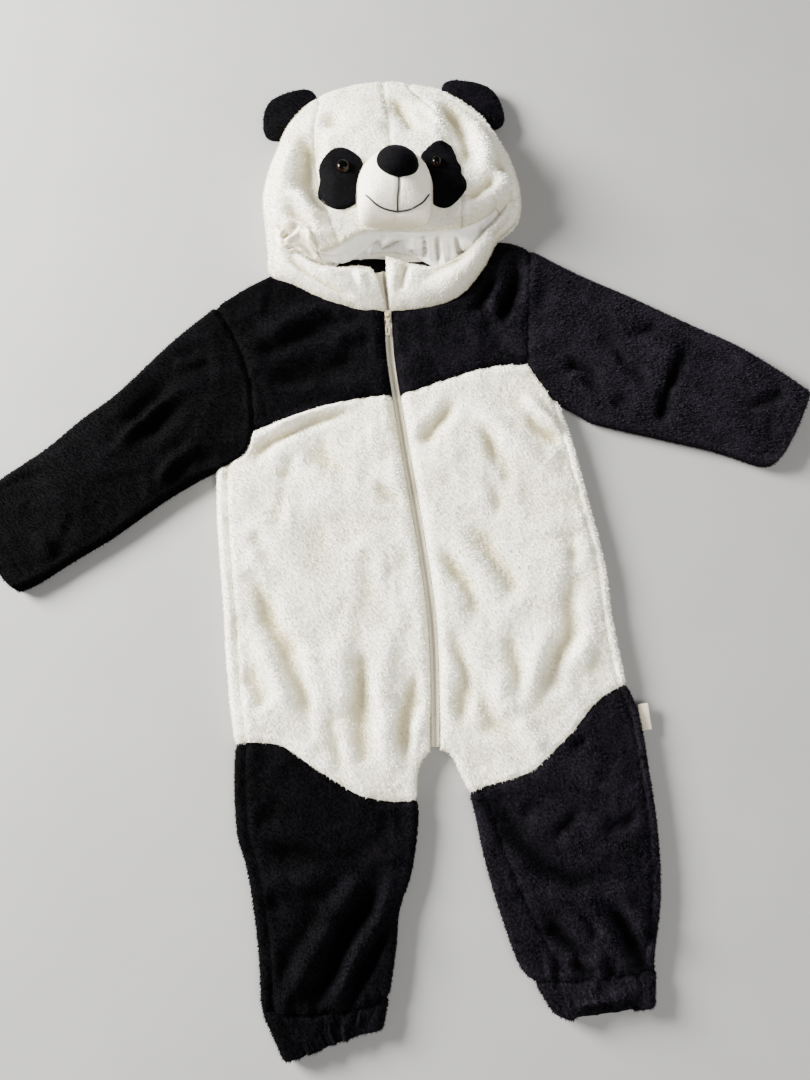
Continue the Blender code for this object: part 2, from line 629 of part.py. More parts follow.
def flat_tube(name, grid, low_edge, high_edge, height):
    """Open tube lying flat: top and underside over one plan grid, with a turn along both sides."""
    rows = []
    for j, (line, low, high) in enumerate(zip(grid, low_edge, high_edge)):
        into_low, into_high = (line[0] - low).normalized(), (line[-1] - high).normalized()
        row = turn(low, into_low, ROLL, ANGLES)
        for i, p in enumerate(line):
            level, hem = height(p, j, i)
            row.append(top_pair(p, level + hem, PLUSH + hem))
        row += turn(high, into_high, ROLL, ANGLES[::-1]) + turn(high, into_high, ROLL, (-45.0,))
        row += [under_pair(p) for p in line[::-1]] + turn(low, into_low, ROLL, (-45.0,))
        rows.append(row)
    wall(name, gapped(rows, last=False, start=False, end=False), "black plush", ring=True)


def sleeve(outline, side):
    facing = -1 if side == "left" else 1
    under = UNDERARM_LEFT if side == "left" else UNDERARM_RIGHT
    armhole = [through(under, 1, (ROLL, 0.0))[0]] + outline.arm[side] + outline.armhole[side][1:]
    wrist = through(WRIST_LEFT if side == "left" else WRIST_RIGHT, len(armhole) - 1, (ROLL, ROLL))
    low_edge, high_edge = outline.sleeve_under[side], outline.sleeve_top[side]
    low = inset(low_edge, ROLL, armhole[0], wrist[0], facing)
    high = inset(high_edge, ROLL, armhole[-1], wrist[-1], -facing)
    grid = patch(low, high, armhole, wrist)

    def height(spot, row, column):
        hem = HEM_RISE if row >= SLEEVE_CELLS - 1 else 0.0
        flat = smooth((SLEEVE_CELLS - row) / 3)
        return 2 * ROLL + (outline.height(spot) - 2 * ROLL) * flat, hem
    flat_tube("sleeve_" + side, grid, low_edge, high_edge, height)


def ankle_cuff(side):
    """Elastic casing with gathers on its upper side."""
    top, end = (ANKLE_LEFT_TOP, ANKLE_LEFT_END) if side == "left" else (ANKLE_RIGHT_TOP, ANKLE_RIGHT_END)
    cells = CUFF_COLUMNS
    first = through(top, cells, (ROLL, ROLL))
    last = through(end, cells, (ROLL, ROLL))
    low_edge = split([Vector(top[0]), Vector(end[0])], CUFF_CELLS)
    high_edge = split([Vector(top[-1]), Vector(end[-1])], CUFF_CELLS)
    low = split([first[0], last[0]], CUFF_CELLS)
    high = split([first[-1], last[-1]], CUFF_CELLS)
    grid = patch(low, high, first, last)

    def height(spot, row, column):
        share = column / cells
        wave = GATHER * math.cos(2 * math.pi * GATHERS * share) * smooth(4 * share) * smooth(4 - 4 * share)
        return 2 * ROLL + CUFF_RISE * math.sin(math.pi * (0.25 + 0.6 * row / CUFF_CELLS)) - GATHER + wave, 0.0
    flat_tube("ankle_cuff_" + side, grid, low_edge, high_edge, height)


# ---------------------------------------------------------------- hood
def catmull(rows, t):
    """Row of numbers at a fractional place in a table."""
    k = min(int(t), len(rows) - 2)
    f = t - k
    a, b, c, d = (rows[min(max(k + m, 0), len(rows) - 1)] for m in (-1, 0, 1, 2))
    return [0.5 * (2 * q + (r - p) * f + (2 * p - 5 * q + 4 * r - s) * f ** 2
                   + (3 * q - p - 3 * r + s) * f ** 3) for p, q, r, s in zip(a, b, c, d)]


def hood_section(index):
    """One section of the hood, from the table or half way between two of its rows."""
    low, high = HOOD[index // SUB], HOOD[min(index // SUB + 1, len(HOOD) - 1)]
    x_out, y_out, x_in, y_in, roll, mid, edge, bend = catmull(HOOD, index / SUB)
    at_neck = low[4] == 0 if index % SUB == 0 else low[4] == 0 or high[4] == 0
    return {"out": Vector((x_out, y_out)), "into": Vector((x_in, y_in)), "roll": 0.0 if at_neck else roll,
            "mid": mid, "edge": edge, "bend": bend}


def section_spot(section, share):
    """Plan point part of the way along a section, past its turn."""
    inward = (section["into"] - section["out"]).normalized()
    spot = (section["out"] + inward * section["roll"]).lerp(section["into"], share)
    spot.x += section["bend"] * math.sin(math.pi * share)
    return spot


def section_height(section, share, outer):
    """Height of the hood part of the way along a section."""
    if share < CREST:
        return outer + (section["mid"] - outer) * math.sin(0.5 * math.pi * share / CREST)
    fall = 1 - math.cos(0.5 * math.pi * (share - CREST) / (1 - CREST))
    return section["mid"] + (section["edge"] - section["mid"]) * fall


def hood_piece(name, outline, first, last, shares, tucked=-1, **gaps):
    """One outer piece of the hood between two rows of the table; at a tucked row it dips to the opening."""
    rows = []
    for index in range(first * SUB, last * SUB + 1):
        section = hood_section(index)
        roll = section["roll"]
        if roll > 0:
            outer = 2 * roll
            inward = (section_spot(section, 0.0) - section["out"]).normalized()
            row = turn(section["out"], inward, roll, ANGLES, gap=0.5 * SEAM_GAP)
            stations = shares
        else:
            outer = outline.height(section["out"])
            row = []
            stations = (0.0, 0.03, 0.08) + shares[1:]
        for share in stations:
            dip = TUCK * share ** 2 if index == tucked * SUB else 0.0
            row.append(top_pair(section_spot(section, share), section_height(section, share, outer) - dip))
        rows.append(row)
    return wall(name, gapped(rows, **gaps), "ivory plush")


def hood_back(neck_line):
    """Back of the hood, flat on the surface, with its edge turned up to meet the front."""
    count = (NECK_RIGHT - NECK_LEFT) * SUB
    start = neck_line[0].lerp(neck_line[1], CORNER / (neck_line[1] - neck_line[0]).length)
    stop = neck_line[-1].lerp(neck_line[-2], CORNER / (neck_line[-2] - neck_line[-1]).length)
    inner = split([start] + neck_line[1:-1] + [stop], count // (len(neck_line) - 1))
    rows = []
    for k in range(count + 1):
        section = hood_section(NECK_LEFT * SUB + k)
        inward = (section["into"] - section["out"]).normalized()
        row = turn(section["out"], inward, section["roll"], [-a for a in ANGLES], gap=-0.5 * SEAM_GAP)
        begin = section["out"] + inward * section["roll"]
        row += [under_pair(begin.lerp(inner[k], s)) for s in (0.0, 0.33, 0.66, 1.0)]
        rows.append(row)
    wall("hood_back", gapped(rows, start=False), "ivory plush")


def hood_lining():
    """White satin seen in the face opening, over the back of the hood."""
    grid = patch(through(LINING_LEFT, 5), through(LINING_RIGHT, 5), through(LINING_EDGE, 16),
                 through(LINING_TOP, 16))
    rest = PLUSH + LAYER_GAP + SATIN
    rows = []
    for line in grid:
        rows.append([top_pair(p, rest, SATIN) for p in line])
    wall("hood_lining", rows, "white satin")


class Ground:
    """Top of some objects, found by a line dropped on them."""

    def __init__(self, *objects):
        verts, faces = [], []
        for obj in objects:
            base = len(verts)
            verts += [v.co.copy() for v in obj.data.vertices]
            faces += [[base + i for i in p.vertices] for p in obj.data.polygons]
        self.tree = BVHTree.FromPolygons(verts, faces)

    def height(self, spot):
        """Highest point at and close round a spot, mm."""
        levels = []
        for step in ((0, 0), (REACH, 0), (-REACH, 0), (0, REACH), (0, -REACH)):
            hit = self.tree.ray_cast(place(spot + Vector(step), DROP), Vector((0, 0, -1)))[0]
            if hit:
                levels.append(hit.z / MM)
        return max(levels)


def disc(cells):
    """Grid of unit disc points made from a square one."""
    grid = []
    for j in range(cells + 1):
        v = 2 * j / cells - 1
        line = []
        for i in range(cells + 1):
            u = 2 * i / cells - 1
            line.append(Vector((u * math.sqrt(1 - v * v / 2), v * math.sqrt(1 - u * u / 2))))
        grid.append(line)
    return grid


def reach(table, angle):
    """Radius at an angle from a table of angles and radii, smoothly between its rows."""
    angles = [a for a, r in table] + [360 + table[0][0]]
    radii = [r for a, r in table] + [table[0][1]]
    for a, b, p, q in zip(angles, angles[1:], radii, radii[1:]):
        if a <= angle <= b:
            return p + (q - p) * smooth((angle - a) / (b - a))
    return radii[0]


def pad(name, centre, grid, shape, ground, top, surface, **gaps):
    """Solid on a surface: its underside follows the ground and its top stands over that by top(share)."""
    rows = []
    for line in grid:
        row = []
        for unit in line:
            spot = Vector(centre) + shape(unit)
            base = ground.height(spot) + LIFT
            row.append((place(spot, base + top(min(unit.length, 1.0))), place(spot, base)))
        rows.append(row)
    if gaps:
        rows = gapped(rows, first=False, last=False, **gaps)
    return wall(name, rows, surface)


def dome(rim, rise, power):
    return lambda share: rim + rise * (1 - share ** 2.4) ** power


def ellipse(half, tilt=0.0):
    c, s = math.cos(math.radians(tilt)), math.sin(math.radians(tilt))
    return lambda unit: Vector((unit.x * half[0] * c - unit.y * half[1] * s,
                                unit.x * half[0] * s + unit.y * half[1] * c))


def muzzle_reach(way):
    """Distance from the muzzle's centre to its outline along a unit direction."""
    power = MUZZLE_ROUND if way.y > 0 else MUZZLE_SQUARE
    return (abs(way.x / MUZZLE_HALF[0]) ** power + abs(way.y / MUZZLE_HALF[1]) ** power) ** (-1 / power)


def muzzle_outline(unit):
    if unit.length < 1e-6:
        return unit
    return unit * muzzle_reach(unit.normalized())


def clear_of_muzzle(centre, way, radius):
    """How far a ray from a patch's centre may run before it comes close to the muzzle."""
    start = Vector(centre) - Vector(MUZZLE_CENTRE)
    for k in range(FINE + 1):
        spot = start + way * radius * k / FINE
        if spot.length < muzzle_reach(spot.normalized()) + MUZZLE_CLEAR:
            return radius * (k - 1) / FINE
    return radius


def face(hood_parts):
    """Eye patches, eyes, muzzle halves and nose on the front of the hood."""
    skin = Ground(*hood_parts)
    for side, (centre, table) in (("left", PATCH_LEFT), ("right", PATCH_RIGHT)):
        def patch_outline(unit, centre=centre, table=table):
            if unit.length < 1e-6:
                return unit
            way = unit.normalized()
            radius = reach(table, math.degrees(math.atan2(way.y, way.x)) % 360)
            return unit * clear_of_muzzle(centre, way, radius)
        below = pad("eye_patch_" + side, centre, disc(8), patch_outline, skin, lambda share: PATCH,
                    "black plush")
        pad("eye_" + side, EYES[side], disc(4), ellipse((EYE_HALF, EYE_HALF)), Ground(below),
            dome(EYE_RIM, EYE_RISE, 0.5), "brown plastic")
    halves = []
    whole = disc(MUZZLE_CELLS)
    middle = MUZZLE_CELLS // 2
    for side, start, stop in (("left", 0, middle + 1), ("right", middle, MUZZLE_CELLS + 1)):
        grid = [line[start:stop] for line in whole]
        halves.append(pad("muzzle_" + side, MUZZLE_CENTRE, grid, muzzle_outline, skin,
                          dome(MUZZLE_RIM, MUZZLE_RISE, 0.62), "ivory plush",
                          start=side == "right", end=side == "left"))
    pad("nose", NOSE_CENTRE, disc(6), ellipse(NOSE_HALF, NOSE_TILT), Ground(*halves),
        dome(NOSE_RIM, NOSE_RISE, 0.5), "black plush")


def ear(side, first, last):
    """Round ear laid out beside the hood, its root along the hood's edge."""
    sections = [hood_section(k) for k in range(first, last + 1)]
    root = [s["out"] for s in sections]
    run = (root[-1] - root[0]).normalized()
    out = Vector((-run.y, run.x))
    base = [p + out * (SEAM_GAP + 0.1) for p in root]
    middle = (base[0] + base[-1]) / 2
    half = (base[-1] - base[0]).length / 2

    def rim(angle):
        c, s = math.cos(math.radians(angle)), math.sin(math.radians(angle))
        wide = half + EAR_BOW * math.sin(math.radians(min(2 * s * 90, 180)))
        return middle + run * wide * c + out * EAR_LENGTH * s
    cells = last - first
    left = [base[0]] + [rim(180 - a) for a in EAR_SIDE]
    right = [base[-1]] + [rim(a) for a in EAR_SIDE]
    spread = 180 - 2 * EAR_SIDE[-1]
    top = [left[-1]] + [rim(EAR_SIDE[-1] + spread * (1 - k / cells)) for k in range(1, cells)] + [right[-1]]
    grid = patch(left, right, base, top)
    level = sum(s["roll"] for s in sections) / len(sections)
    rows = []
    for j, line in enumerate(grid):
        row = []
        for i, p in enumerate(line):
            across = math.sin(math.pi * i / cells) ** 0.5
            share = j / len(EAR_SIDE)
            lengthwise = math.cos(0.5 * math.pi * share) ** 0.5 if share < 1 else 0.0
            thick = EAR_THIN + (EAR_HALF - EAR_THIN) * across * lengthwise
            z = level - EAR_DROOP * share
            row.append((place(p, z + thick), place(p, z - thick)))
        rows.append(row)
    wall("ear_" + side, rows, "black plush")


def hood(outline):
    """Every outer piece of the hood, its lining, face and ears."""
    neck_line = through(BACK_NECK, 6)
    last = len(HOOD) - 1
    hood_piece("chin_left", outline, 0, SEAM_LEFT, CHIN_SHARES)
    parts = []
    panels = (("hood_side_left", SEAM_LEFT, TOP_LEFT), ("hood_face_left", TOP_LEFT, TOP_MID),
              ("hood_face_right", TOP_MID, TOP_RIGHT), ("hood_side_right", TOP_RIGHT, SEAM_RIGHT))
    for name, start, stop in panels:
        parts.append(hood_piece(name, outline, start, stop, FACE_SHARES, start=False, end=False))
    hood_piece("chin_right", outline, SEAM_RIGHT, last, CHIN_SHARES, tucked=SEAM_RIGHT)
    hood_back(neck_line)
    hood_lining()
    face(parts)
    ear("left", *EAR_LEFT)
    ear("right", *EAR_RIGHT)
    return neck_line


# ---------------------------------------------------------------- zip and label
def tape_height(outline, spot):
    return max(outline.height(spot) - TAPE_DROP, TAPE_LEAST)


def zip_tape(outline, side):
    """Half of the zip: tape with half of the coil standing on it."""
    sign = -1 if side == "left" else 1
    centre = through(ZIP + ZIP_UP, ZIP_CELLS, (ZIP_START, 0.0))
    rows = []
    for k, p in enumerate(centre):
        near, far = centre[max(k - 1, 0)], centre[min(k + 1, ZIP_CELLS)]
        run = (far - near).normalized()
        across = Vector((run.y, -run.x)) * sign
        narrow = smooth((p.y - ZIP[-1][1]) / (ZIP_UP[-1][1] - ZIP[-1][1]))
        half = (ZIP_HALF - 0.4) + (ZIP_TIP_HALF - ZIP_HALF + 0.4) * narrow
        z = tape_height(outline, p)
        row = []
        for offset, rise in ((half, 0.0), (COIL_HALF, 0.0), (COIL_HALF - 0.3, COIL_RISE),
                             (0.5 * SEAM_GAP, COIL_RISE)):
            spot = p + across * offset
            row.append((place(spot, z + rise), place(spot, z - TAPE)))
        rows.append(row)
    wall("zip_tape_" + side, rows, "beige tape")


def block(name, centre, size, surface=None):
    """Box by its centre and size in millimetres; without a surface it is a cutter."""
    bm = bmesh.new()
    bmesh.ops.create_cube(bm, size=1.0)
    for vert in bm.verts:
        vert.co = Vector((vert.co.x * size[0], vert.co.y * size[1], vert.co.z * size[2])) * MM + centre
    if surface:
        return add_object(name, bm, surface)
    mesh = bpy.data.meshes.new(name)
    bm.to_mesh(mesh)
    bm.free()
    cutter = bpy.data.objects.new(name, mesh)
    bpy.data.collections["cutters"].objects.link(cutter)
    cutter.hide_render = True
    cutter.display_type = "WIRE"
    return cutter


def combine(obj, cutter, operation):
    change = obj.modifiers.new(cutter.name, "BOOLEAN")
    change.operation = operation
    change.object = cutter


def zip_slider(outline):
    """Slider plate with a bridge, and a pull whose bar turns under that bridge."""
    line = through(ZIP, 80)
    spot = min(line, key=lambda p: abs(p.y - SLIDER_Y))
    seat = tape_height(outline, spot) + COIL_RISE + SEAM_GAP
    plate_top = seat + SLIDER_THICK
    at = place(spot, seat + 0.5 * SLIDER_THICK)
    slider = block("zip_slider", at, (SLIDER_WIDTH, SLIDER_LENGTH, SLIDER_THICK), "painted metal")
    rise = 2 * EYE_CLEAR + PULL_THICK
    bridge_at = place(spot, plate_top + 0.5 * (rise + BRIDGE_BAR) - 0.25)
    bridge = block("bridge", bridge_at, (BRIDGE_WIDTH, BRIDGE_LENGTH, rise + BRIDGE_BAR + 0.5))
    combine(slider, bridge, "UNION")
    window = block("bridge_window", place(spot, plate_top + 0.5 * rise),
                   (2 * BRIDGE_WIDTH, BRIDGE_LENGTH - 2 * BRIDGE_BAR, rise))
    combine(slider, window, "DIFFERENCE")

    axis = place(spot, plate_top + 0.5 * rise)
    tail = PULL_LENGTH - 0.5 * PULL_THICK
    body = Vector((0, -0.5 * (tail - 0.5 * PULL_THICK) * MM, 0))
    pull = block("zip_pull", body, (PULL_WIDTH, PULL_LENGTH, PULL_THICK), "painted metal")
    depth = PULL_WINDOW
    hole = block("pull_window", Vector((0, -(0.5 * PULL_THICK + 0.5 * depth) * MM, 0)),
                 (BRIDGE_WIDTH + 2 * PULL_CLEAR, depth, 3 * PULL_THICK))
    for obj in (pull, hole):
        obj.location = axis
        obj.rotation_euler = (math.radians(PULL_DROOP), 0, 0)
    combine(pull, hole, "DIFFERENCE")


def side_label():
    """Blank folded tape that stands out of the right leg's side seam."""
    (x, y), width, length, thick = LABEL
    at = place((x + 0.5 * width, y), ROLL)
    label = block("side_label", Vector(), (width, length, thick), "cream label")
    label.location = at
    label.rotation_euler = (0, 0, math.radians(LABEL_TURN))


def build():
    for obj in list(bpy.data.objects):
        bpy.data.objects.remove(obj)
    for name in ("Panda onesie", "cutters"):
        collection = bpy.data.collections.new(name)
        bpy.context.scene.collection.children.link(collection)
    outline = Outline()
    neck_line = hood(outline)
    yoke_back(outline, neck_line)
    for side in ("left", "right"):
        yoke_front(outline, side)
        belly(outline, side)
        sleeve(outline, side)
        ankle_cuff(side)
        zip_tape(outline, side)
    leg_left(outline)
    leg_right(outline)
    zip_slider(outline)
    side_label()


build()
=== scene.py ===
"""Looks of a child's hooded panda onesie laid flat: plush cloth, satin lining, padded face, zip and pile.

Sizes are millimetres in a plan frame whose Y runs from the ankles to the hood; Z is up from the surface.
"""
import json
import math

import bmesh
import bpy
import numpy as np
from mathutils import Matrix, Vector
from mathutils.bvhtree import BVHTree


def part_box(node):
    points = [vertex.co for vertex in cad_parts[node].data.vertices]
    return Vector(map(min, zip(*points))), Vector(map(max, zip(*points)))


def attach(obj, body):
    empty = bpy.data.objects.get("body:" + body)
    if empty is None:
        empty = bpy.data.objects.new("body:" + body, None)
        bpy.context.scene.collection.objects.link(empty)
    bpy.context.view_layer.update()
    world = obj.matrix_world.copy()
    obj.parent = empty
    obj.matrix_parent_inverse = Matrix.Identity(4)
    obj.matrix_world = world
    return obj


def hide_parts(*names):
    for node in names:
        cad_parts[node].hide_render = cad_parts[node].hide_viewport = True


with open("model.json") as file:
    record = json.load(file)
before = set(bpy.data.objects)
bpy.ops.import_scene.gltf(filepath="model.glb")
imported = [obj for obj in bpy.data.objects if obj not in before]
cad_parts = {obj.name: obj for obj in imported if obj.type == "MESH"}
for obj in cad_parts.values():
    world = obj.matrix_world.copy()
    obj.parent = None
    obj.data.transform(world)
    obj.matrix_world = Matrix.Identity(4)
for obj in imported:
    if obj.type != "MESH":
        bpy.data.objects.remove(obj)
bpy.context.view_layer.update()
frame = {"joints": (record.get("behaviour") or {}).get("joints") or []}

MM = 0.001
CENTRE = np.array((-11.5, 31.0))    # plan centre of the laid out garment, which is the origin

# ---- driving sizes, mm, the same as the solids
PLUSH = 6.2           # padded wall: plush with its pile, and the lining behind it
SATIN = 1.6
ROLL = 7.0            # radius where the cloth turns over at a side
SEAM_GAP = 0.3
HALF_GAP = 0.5 * SEAM_GAP
LAYER_GAP = 0.4
PUFF = 2.2            # how much higher the middle stands than the sides
PUFF_RUN = 55.0
LIFT = 0.7            # what lies on a panel is this far out from it
LIP = {"left": 11.0, "right": 9.0}    # how far the back turns over to the front at each side
ZIP_HALF = 4.5
ZIP_DIP = 3.2
TAPE_DROP = 3.4
TAPE = 1.2
TAPE_LEAST = 9.0
TAPE_HALF = ZIP_HALF - 0.4
TAPE_SHARES = np.array((1.0, 0.85, 0.7, 0.55, 0.4, 0.28, 0.15, 0.0))    # columns of points across it
COIL_OFFSET = 0.55    # each half of the coil from the zip's centre
COIL_SEAT = 0.5       # how far the tape bulges under its coil
COIL_LIFT = 0.35      # how far it stands over that
COIL_SIZES = (1.3, 1.7, 0.62)    # pitch, length and thickness of its wire's turns
COIL_TURN = 62.0      # how far each turn slants, degrees
TAPE_STITCH_OFFSET = 4.0    # each row of stitches from the zip's centre
STITCH_SIZES = (3.0, 2.4, 0.7)    # the same of the stitches
STITCH_LIFT = 0.1
HEM = 16.0
HEM_RISE = 0.9
GATHERS = 9
GATHER = 1.5
CUFF_RISE = 2.4
CREST = 0.5           # where along a hood section its middle height lies
CORNER = 12.0
TUCK = 5.4
DROP = 400.0          # height that spots are looked for from
NECK_LEFT, SEAM_LEFT, TOP_LEFT, TOP_MID, TOP_RIGHT, SEAM_RIGHT, NECK_RIGHT = 4, 6, 11, 13, 15, 20, 22
EAR_ROWS = {"left": (19, 22), "right": (32, 35)}    # half rows of the hood's table at an ear's root
EAR_LENGTH = 46.0
EAR_HALF = 6.0
EAR_THIN = 1.2
EAR_BOW = 10.0
EAR_SIDE = 44.0       # degrees from its root to the end of its side
EAR_DROOP = 6.0
SLIDER_THICK = 2.2
BRIDGE_WIDTH = 1.8
BRIDGE_LENGTH = 5.6
BRIDGE_BAR = 0.8
EYE_CLEAR = 0.5
PULL_THICK = 1.2
PULL_WINDOW = 4.0
PULL_CLEAR = 0.5
PULL_DROOP = 4.0
PULL_SIDE = [(1.4, 0.0), (2.3, 0.7), (2.5, 3.0), (2.4, 5.6), (1.6, 7.6), (1.5, 10.0), (2.1, 13.5), (2.5, 18.0),
             (2.4, 21.5), (1.7, 23.4), (0.3, 24.0)]
TAIL_HOLE = (15.0, 20.5, 0.9)
LABEL = ((226.6, -176.0), 10.0, 25.0, 0.9)    # inner end, width, length, thickness
LABEL_TURN = 6.0
ARCH_TOP = -200.0
ZIP_AT_YOKE = (-9, 151.5)
SIDES = ("left", "right")
FACING = {"left": -1, "right": 1}    # way from the middle to each side along X

# ---- cells of the solids' borders
SIDE_CELLS, LEG_CELLS, ARCH_CELLS, SLEEVE_CELLS, ARM_CELLS = 12, 8, 3, 11, 3
YOKE_CELLS, BACK_CELLS, CUFF_COLUMNS = 6, 4, 27
FRONT_CELLS = {"left": 12, "right": 11}    # across a leg's front
YOKE_SEAM_CELLS = 9
LOW_CELLS = BACK_CELLS + ARM_CELLS + 1     # across the lower seam of a back

# ---- plan curves of each side, mm: x, y; the seams of the yoke and the legs run from the side inwards
POINTS = {
    "left": {
        "underarm": [(-193, 71), (-171, 84), (-161, 94), (-156, 112)],
        "armhole": [(-156, 112), (-159, 146), (-165, 176), (-180, 215), (-203, 254)],
        "shoulder": [(-203, 254), (-173, 275), (-145, 291)],
        "sleeve top": [(-203, 254), (-248, 213), (-301, 156), (-336, 127), (-370, 95), (-415, 61), (-447, 31)],
        "sleeve under": [(-193, 71), (-214, 59), (-245, 39), (-295, 1), (-335, -25), (-366, -46), (-384, -55)],
        "wrist": [(-384, -55), (-395, -47), (-407, -33), (-430, 2), (-447, 31)],
        "side": [(-162, -202), (-169, -163), (-176, -106), (-179, -73), (-184, -33), (-190, 21), (-193, 71)],
        "yoke seam": [(-156, 112), (-117, 127), (-70, 143), (-42, 148), (-13.5, 151)],
        "leg seam": [(-162, -202), (-150, -200), (-127, -201), (-113, -205), (-87, -222), (-59, -239),
                     (-42, -248), (-12, -254), (12, -252)],
        "leg outside": [(-129, -434), (-134, -380), (-146, -317), (-157, -284), (-162, -235), (-162, -202)],
        "leg inside": [(-14, -422), (-8, -380), (-5, -349), (6, -317), (12, -276), (12, -252)],
        "ankle top": [(-129, -434), (-67, -434), (-14, -422)],
        "ankle end": [(-107, -476), (-98, -473), (-63, -461), (-42, -454), (-20, -449)],
        "arch": [(12, -252), (12, -231), (16, -218), (24.5, -207)],
    },
    "right": {
        "underarm": [(161, 144), (152, 150), (141, 167), (128, 186)],
        "armhole": [(128, 186), (130, 225), (132, 259), (134, 290), (136, 321)],
        "shoulder": [(136, 321), (117, 329), (101, 331)],
        "sleeve top": [(136, 321), (189, 291), (231, 271), (272, 250), (313, 229), (353, 209), (393, 182),
                       (425, 157)],
        "sleeve under": [(161, 144), (182, 131), (198, 122), (246, 110), (283, 101), (316, 93), (343, 84),
                         (365, 76), (379, 77)],
        "wrist": [(379, 77), (390, 89), (403, 110), (416, 136), (425, 157)],
        "side": [(215, -144), (205, -83), (200, -26), (187, 38), (174, 98), (161, 144)],
        "yoke seam": [(128, 186), (88, 182), (47, 169), (17, 158), (-4.5, 152)],
        "leg seam": [(215, -144), (186, -161), (161, -189), (135, -213), (116, -228), (73, -241), (61, -247)],
        "leg outside": [(228, -399), (227, -388), (236, -337), (237, -281), (232, -224), (226, -175),
                        (215, -144)],
        "leg inside": [(117, -410), (104, -396), (87, -350), (74, -304), (66, -265), (61, -247)],
        "ankle top": [(117, -410), (175, -405), (228, -399)],
        "ankle end": [(133, -436), (150, -441), (183, -438), (225, -431)],
        "arch": [(61, -247), (52, -228), (45, -213), (33.5, -206)],
    },
}

ZIP_UP = [(-19.8, 262), (-24, 293)]   # between the chin edges
ZIP_TIP_HALF = {"left": 13.0, "right": 4.2}    # the left tape widens to a guard at the chin
ZIP_START = 2.0       # tape's lower end above the crotch
ZIP = [(29, -206), (29, -138), (26, -76), (15, 4), (3, 76), (-9, 151), (-15.5, 197), (-18.5, 248)]
BACK_NECK = [(-145, 291), (-118, 303), (-80, 309), (-35, 313), (10, 309), (60, 317), (101, 331)]

# ---- lip of the back along the right leg's inside, from ankle to crotch, mm
INSEAM_LIP = [33.0, 30.0, 24.0, 19.0, 14.0, 12.0]
INSIDE = {"left": (ROLL, ROLL), "right": (INSEAM_LIP[0], INSEAM_LIP[-1])}    # front's end at ankle and crotch

# ---- hood sections, from the zip round the left side, over the top and back to the zip, mm
# x_out, y_out: side or neck seam end; x_in, y_in: face opening end; roll: radius of the turn, 0 at
# the neck seam; mid: height half way; edge: height at the opening; bend: sideways bow of the section
HOOD = [
    (-20.5, 248, -36, 296, 0, 26, 18, 0),
    (-47, 248, -51, 298, 0, 29, 18, 0),
    (-80, 258, -73, 296, 0, 30, 17, 0),
    (-113, 275, -93, 298, 0, 29, 17, 0),
    (-145, 291, -113, 312, 7, 27, 19, 0),
    (-149, 318, -125, 322, 10, 29, 23, 0),
    (-152, 345, -131, 330, 13, 34, 28, 0),
    (-155, 376, -121, 325, 16, 42, 34, 0),
    (-150, 405, -110, 320, 18, 46, 37, 0),
    (-141, 434, -98, 310, 18, 48, 38, -4),
    (-127, 470, -86, 304, 17, 49, 38, -10),
    (-98, 504, -70, 311, 15, 49, 39, -14),
    (-62, 520, -46, 324, 14, 51, 41, -6),
    (-26, 527, -11, 327, 13, 51, 42, 2),
    (-12, 526, 26, 326, 13, 51, 42, 10),
    (2, 524, 60, 331, 13, 49, 40, 18),
    (40, 514, 72, 336, 14, 47, 39, 12),
    (80, 483, 84, 343, 16, 46, 38, 4),
    (103, 448, 91, 349, 17, 44, 36, 0),
    (119, 415, 97, 357, 16, 40, 33, 0),
    (127, 380, 102, 355, 14, 34, 28, 0),
    (122, 352, 96, 345, 10, 30, 24, 0),
    (101, 331, 80, 329, 7, 28, 21, 0),
    (86, 300, 61, 311, 0, 29, 19, 0),
    (60, 265, 33, 298, 0, 30, 18, 0),
    (24, 250, 8, 299, 0, 29, 20, 0),
    (-16.5, 248, -21, 308, 0, 26, 23, 0),
]

# its pieces: first and last row, cells each way, seams, free edges, and a row where it is tucked under
HOOD_PANELS = {
    "chin_left": (0, SEAM_LEFT, 84, 26, "ls", "ef", None),
    "hood_side_left": (SEAM_LEFT, TOP_LEFT, 56, 44, "fls", "e", None),
    "hood_face_left": (TOP_LEFT, TOP_MID, 30, 56, "fls", "e", None),
    "hood_face_right": (TOP_MID, TOP_RIGHT, 30, 56, "fls", "e", None),
    "hood_side_right": (TOP_RIGHT, SEAM_RIGHT, 56, 44, "fls", "e", None),
    "chin_right": (SEAM_RIGHT, len(HOOD) - 1, 84, 26, "fs", "el", SEAM_RIGHT),
}
NECK_START = 0.08     # share of a section that its plain edge at the neck takes

# ---- face, mm
# an eye patch: its centre, then its reach from there at each angle, degrees
PATCHES = {
    "left": ((-69, 383), [(0, 23), (45, 30), (90, 34), (130, 29), (180, 22), (225, 30), (270, 37), (320, 34)]),
    "right": ((41, 388), [(0, 19), (40, 21), (90, 36), (135, 31), (180, 20), (225, 33), (270, 40), (320, 30)]),
}
PATCH_PROFILE = (2.4, 0.6, 0.5)      # of a pad: its rim's height, its rise over that, and how full it is
PATCH_EVEN = 0.5      # how far its top is evened out over the creases under it
EYE_PATCH_CELLS, MUZZLE_CELLS, NOSE_CELLS, EYE_CELLS, FLAP_CELLS = 40, 64, 34, 28, 44
MUZZLE_CENTRE = (-11, 367.0)
MUZZLE_HALF = (39.5, 39.5)
MUZZLE_ROUND = 2.0    # 2 is an ellipse, as its upper half is
MUZZLE_SQUARE = 6.0   # its lower half runs down square to the brim
MUZZLE_PROFILE = (5.0, 31.0, 0.62)
MUZZLE_CLEAR = 1.2    # between it and an eye patch
NOSE_CENTRE = (-7.5, 376.3)
NOSE_HALF = (21.8, 18.2)
NOSE_TILT = -16.0
NOSE_PROFILE = (2.0, 8.0, 0.5)
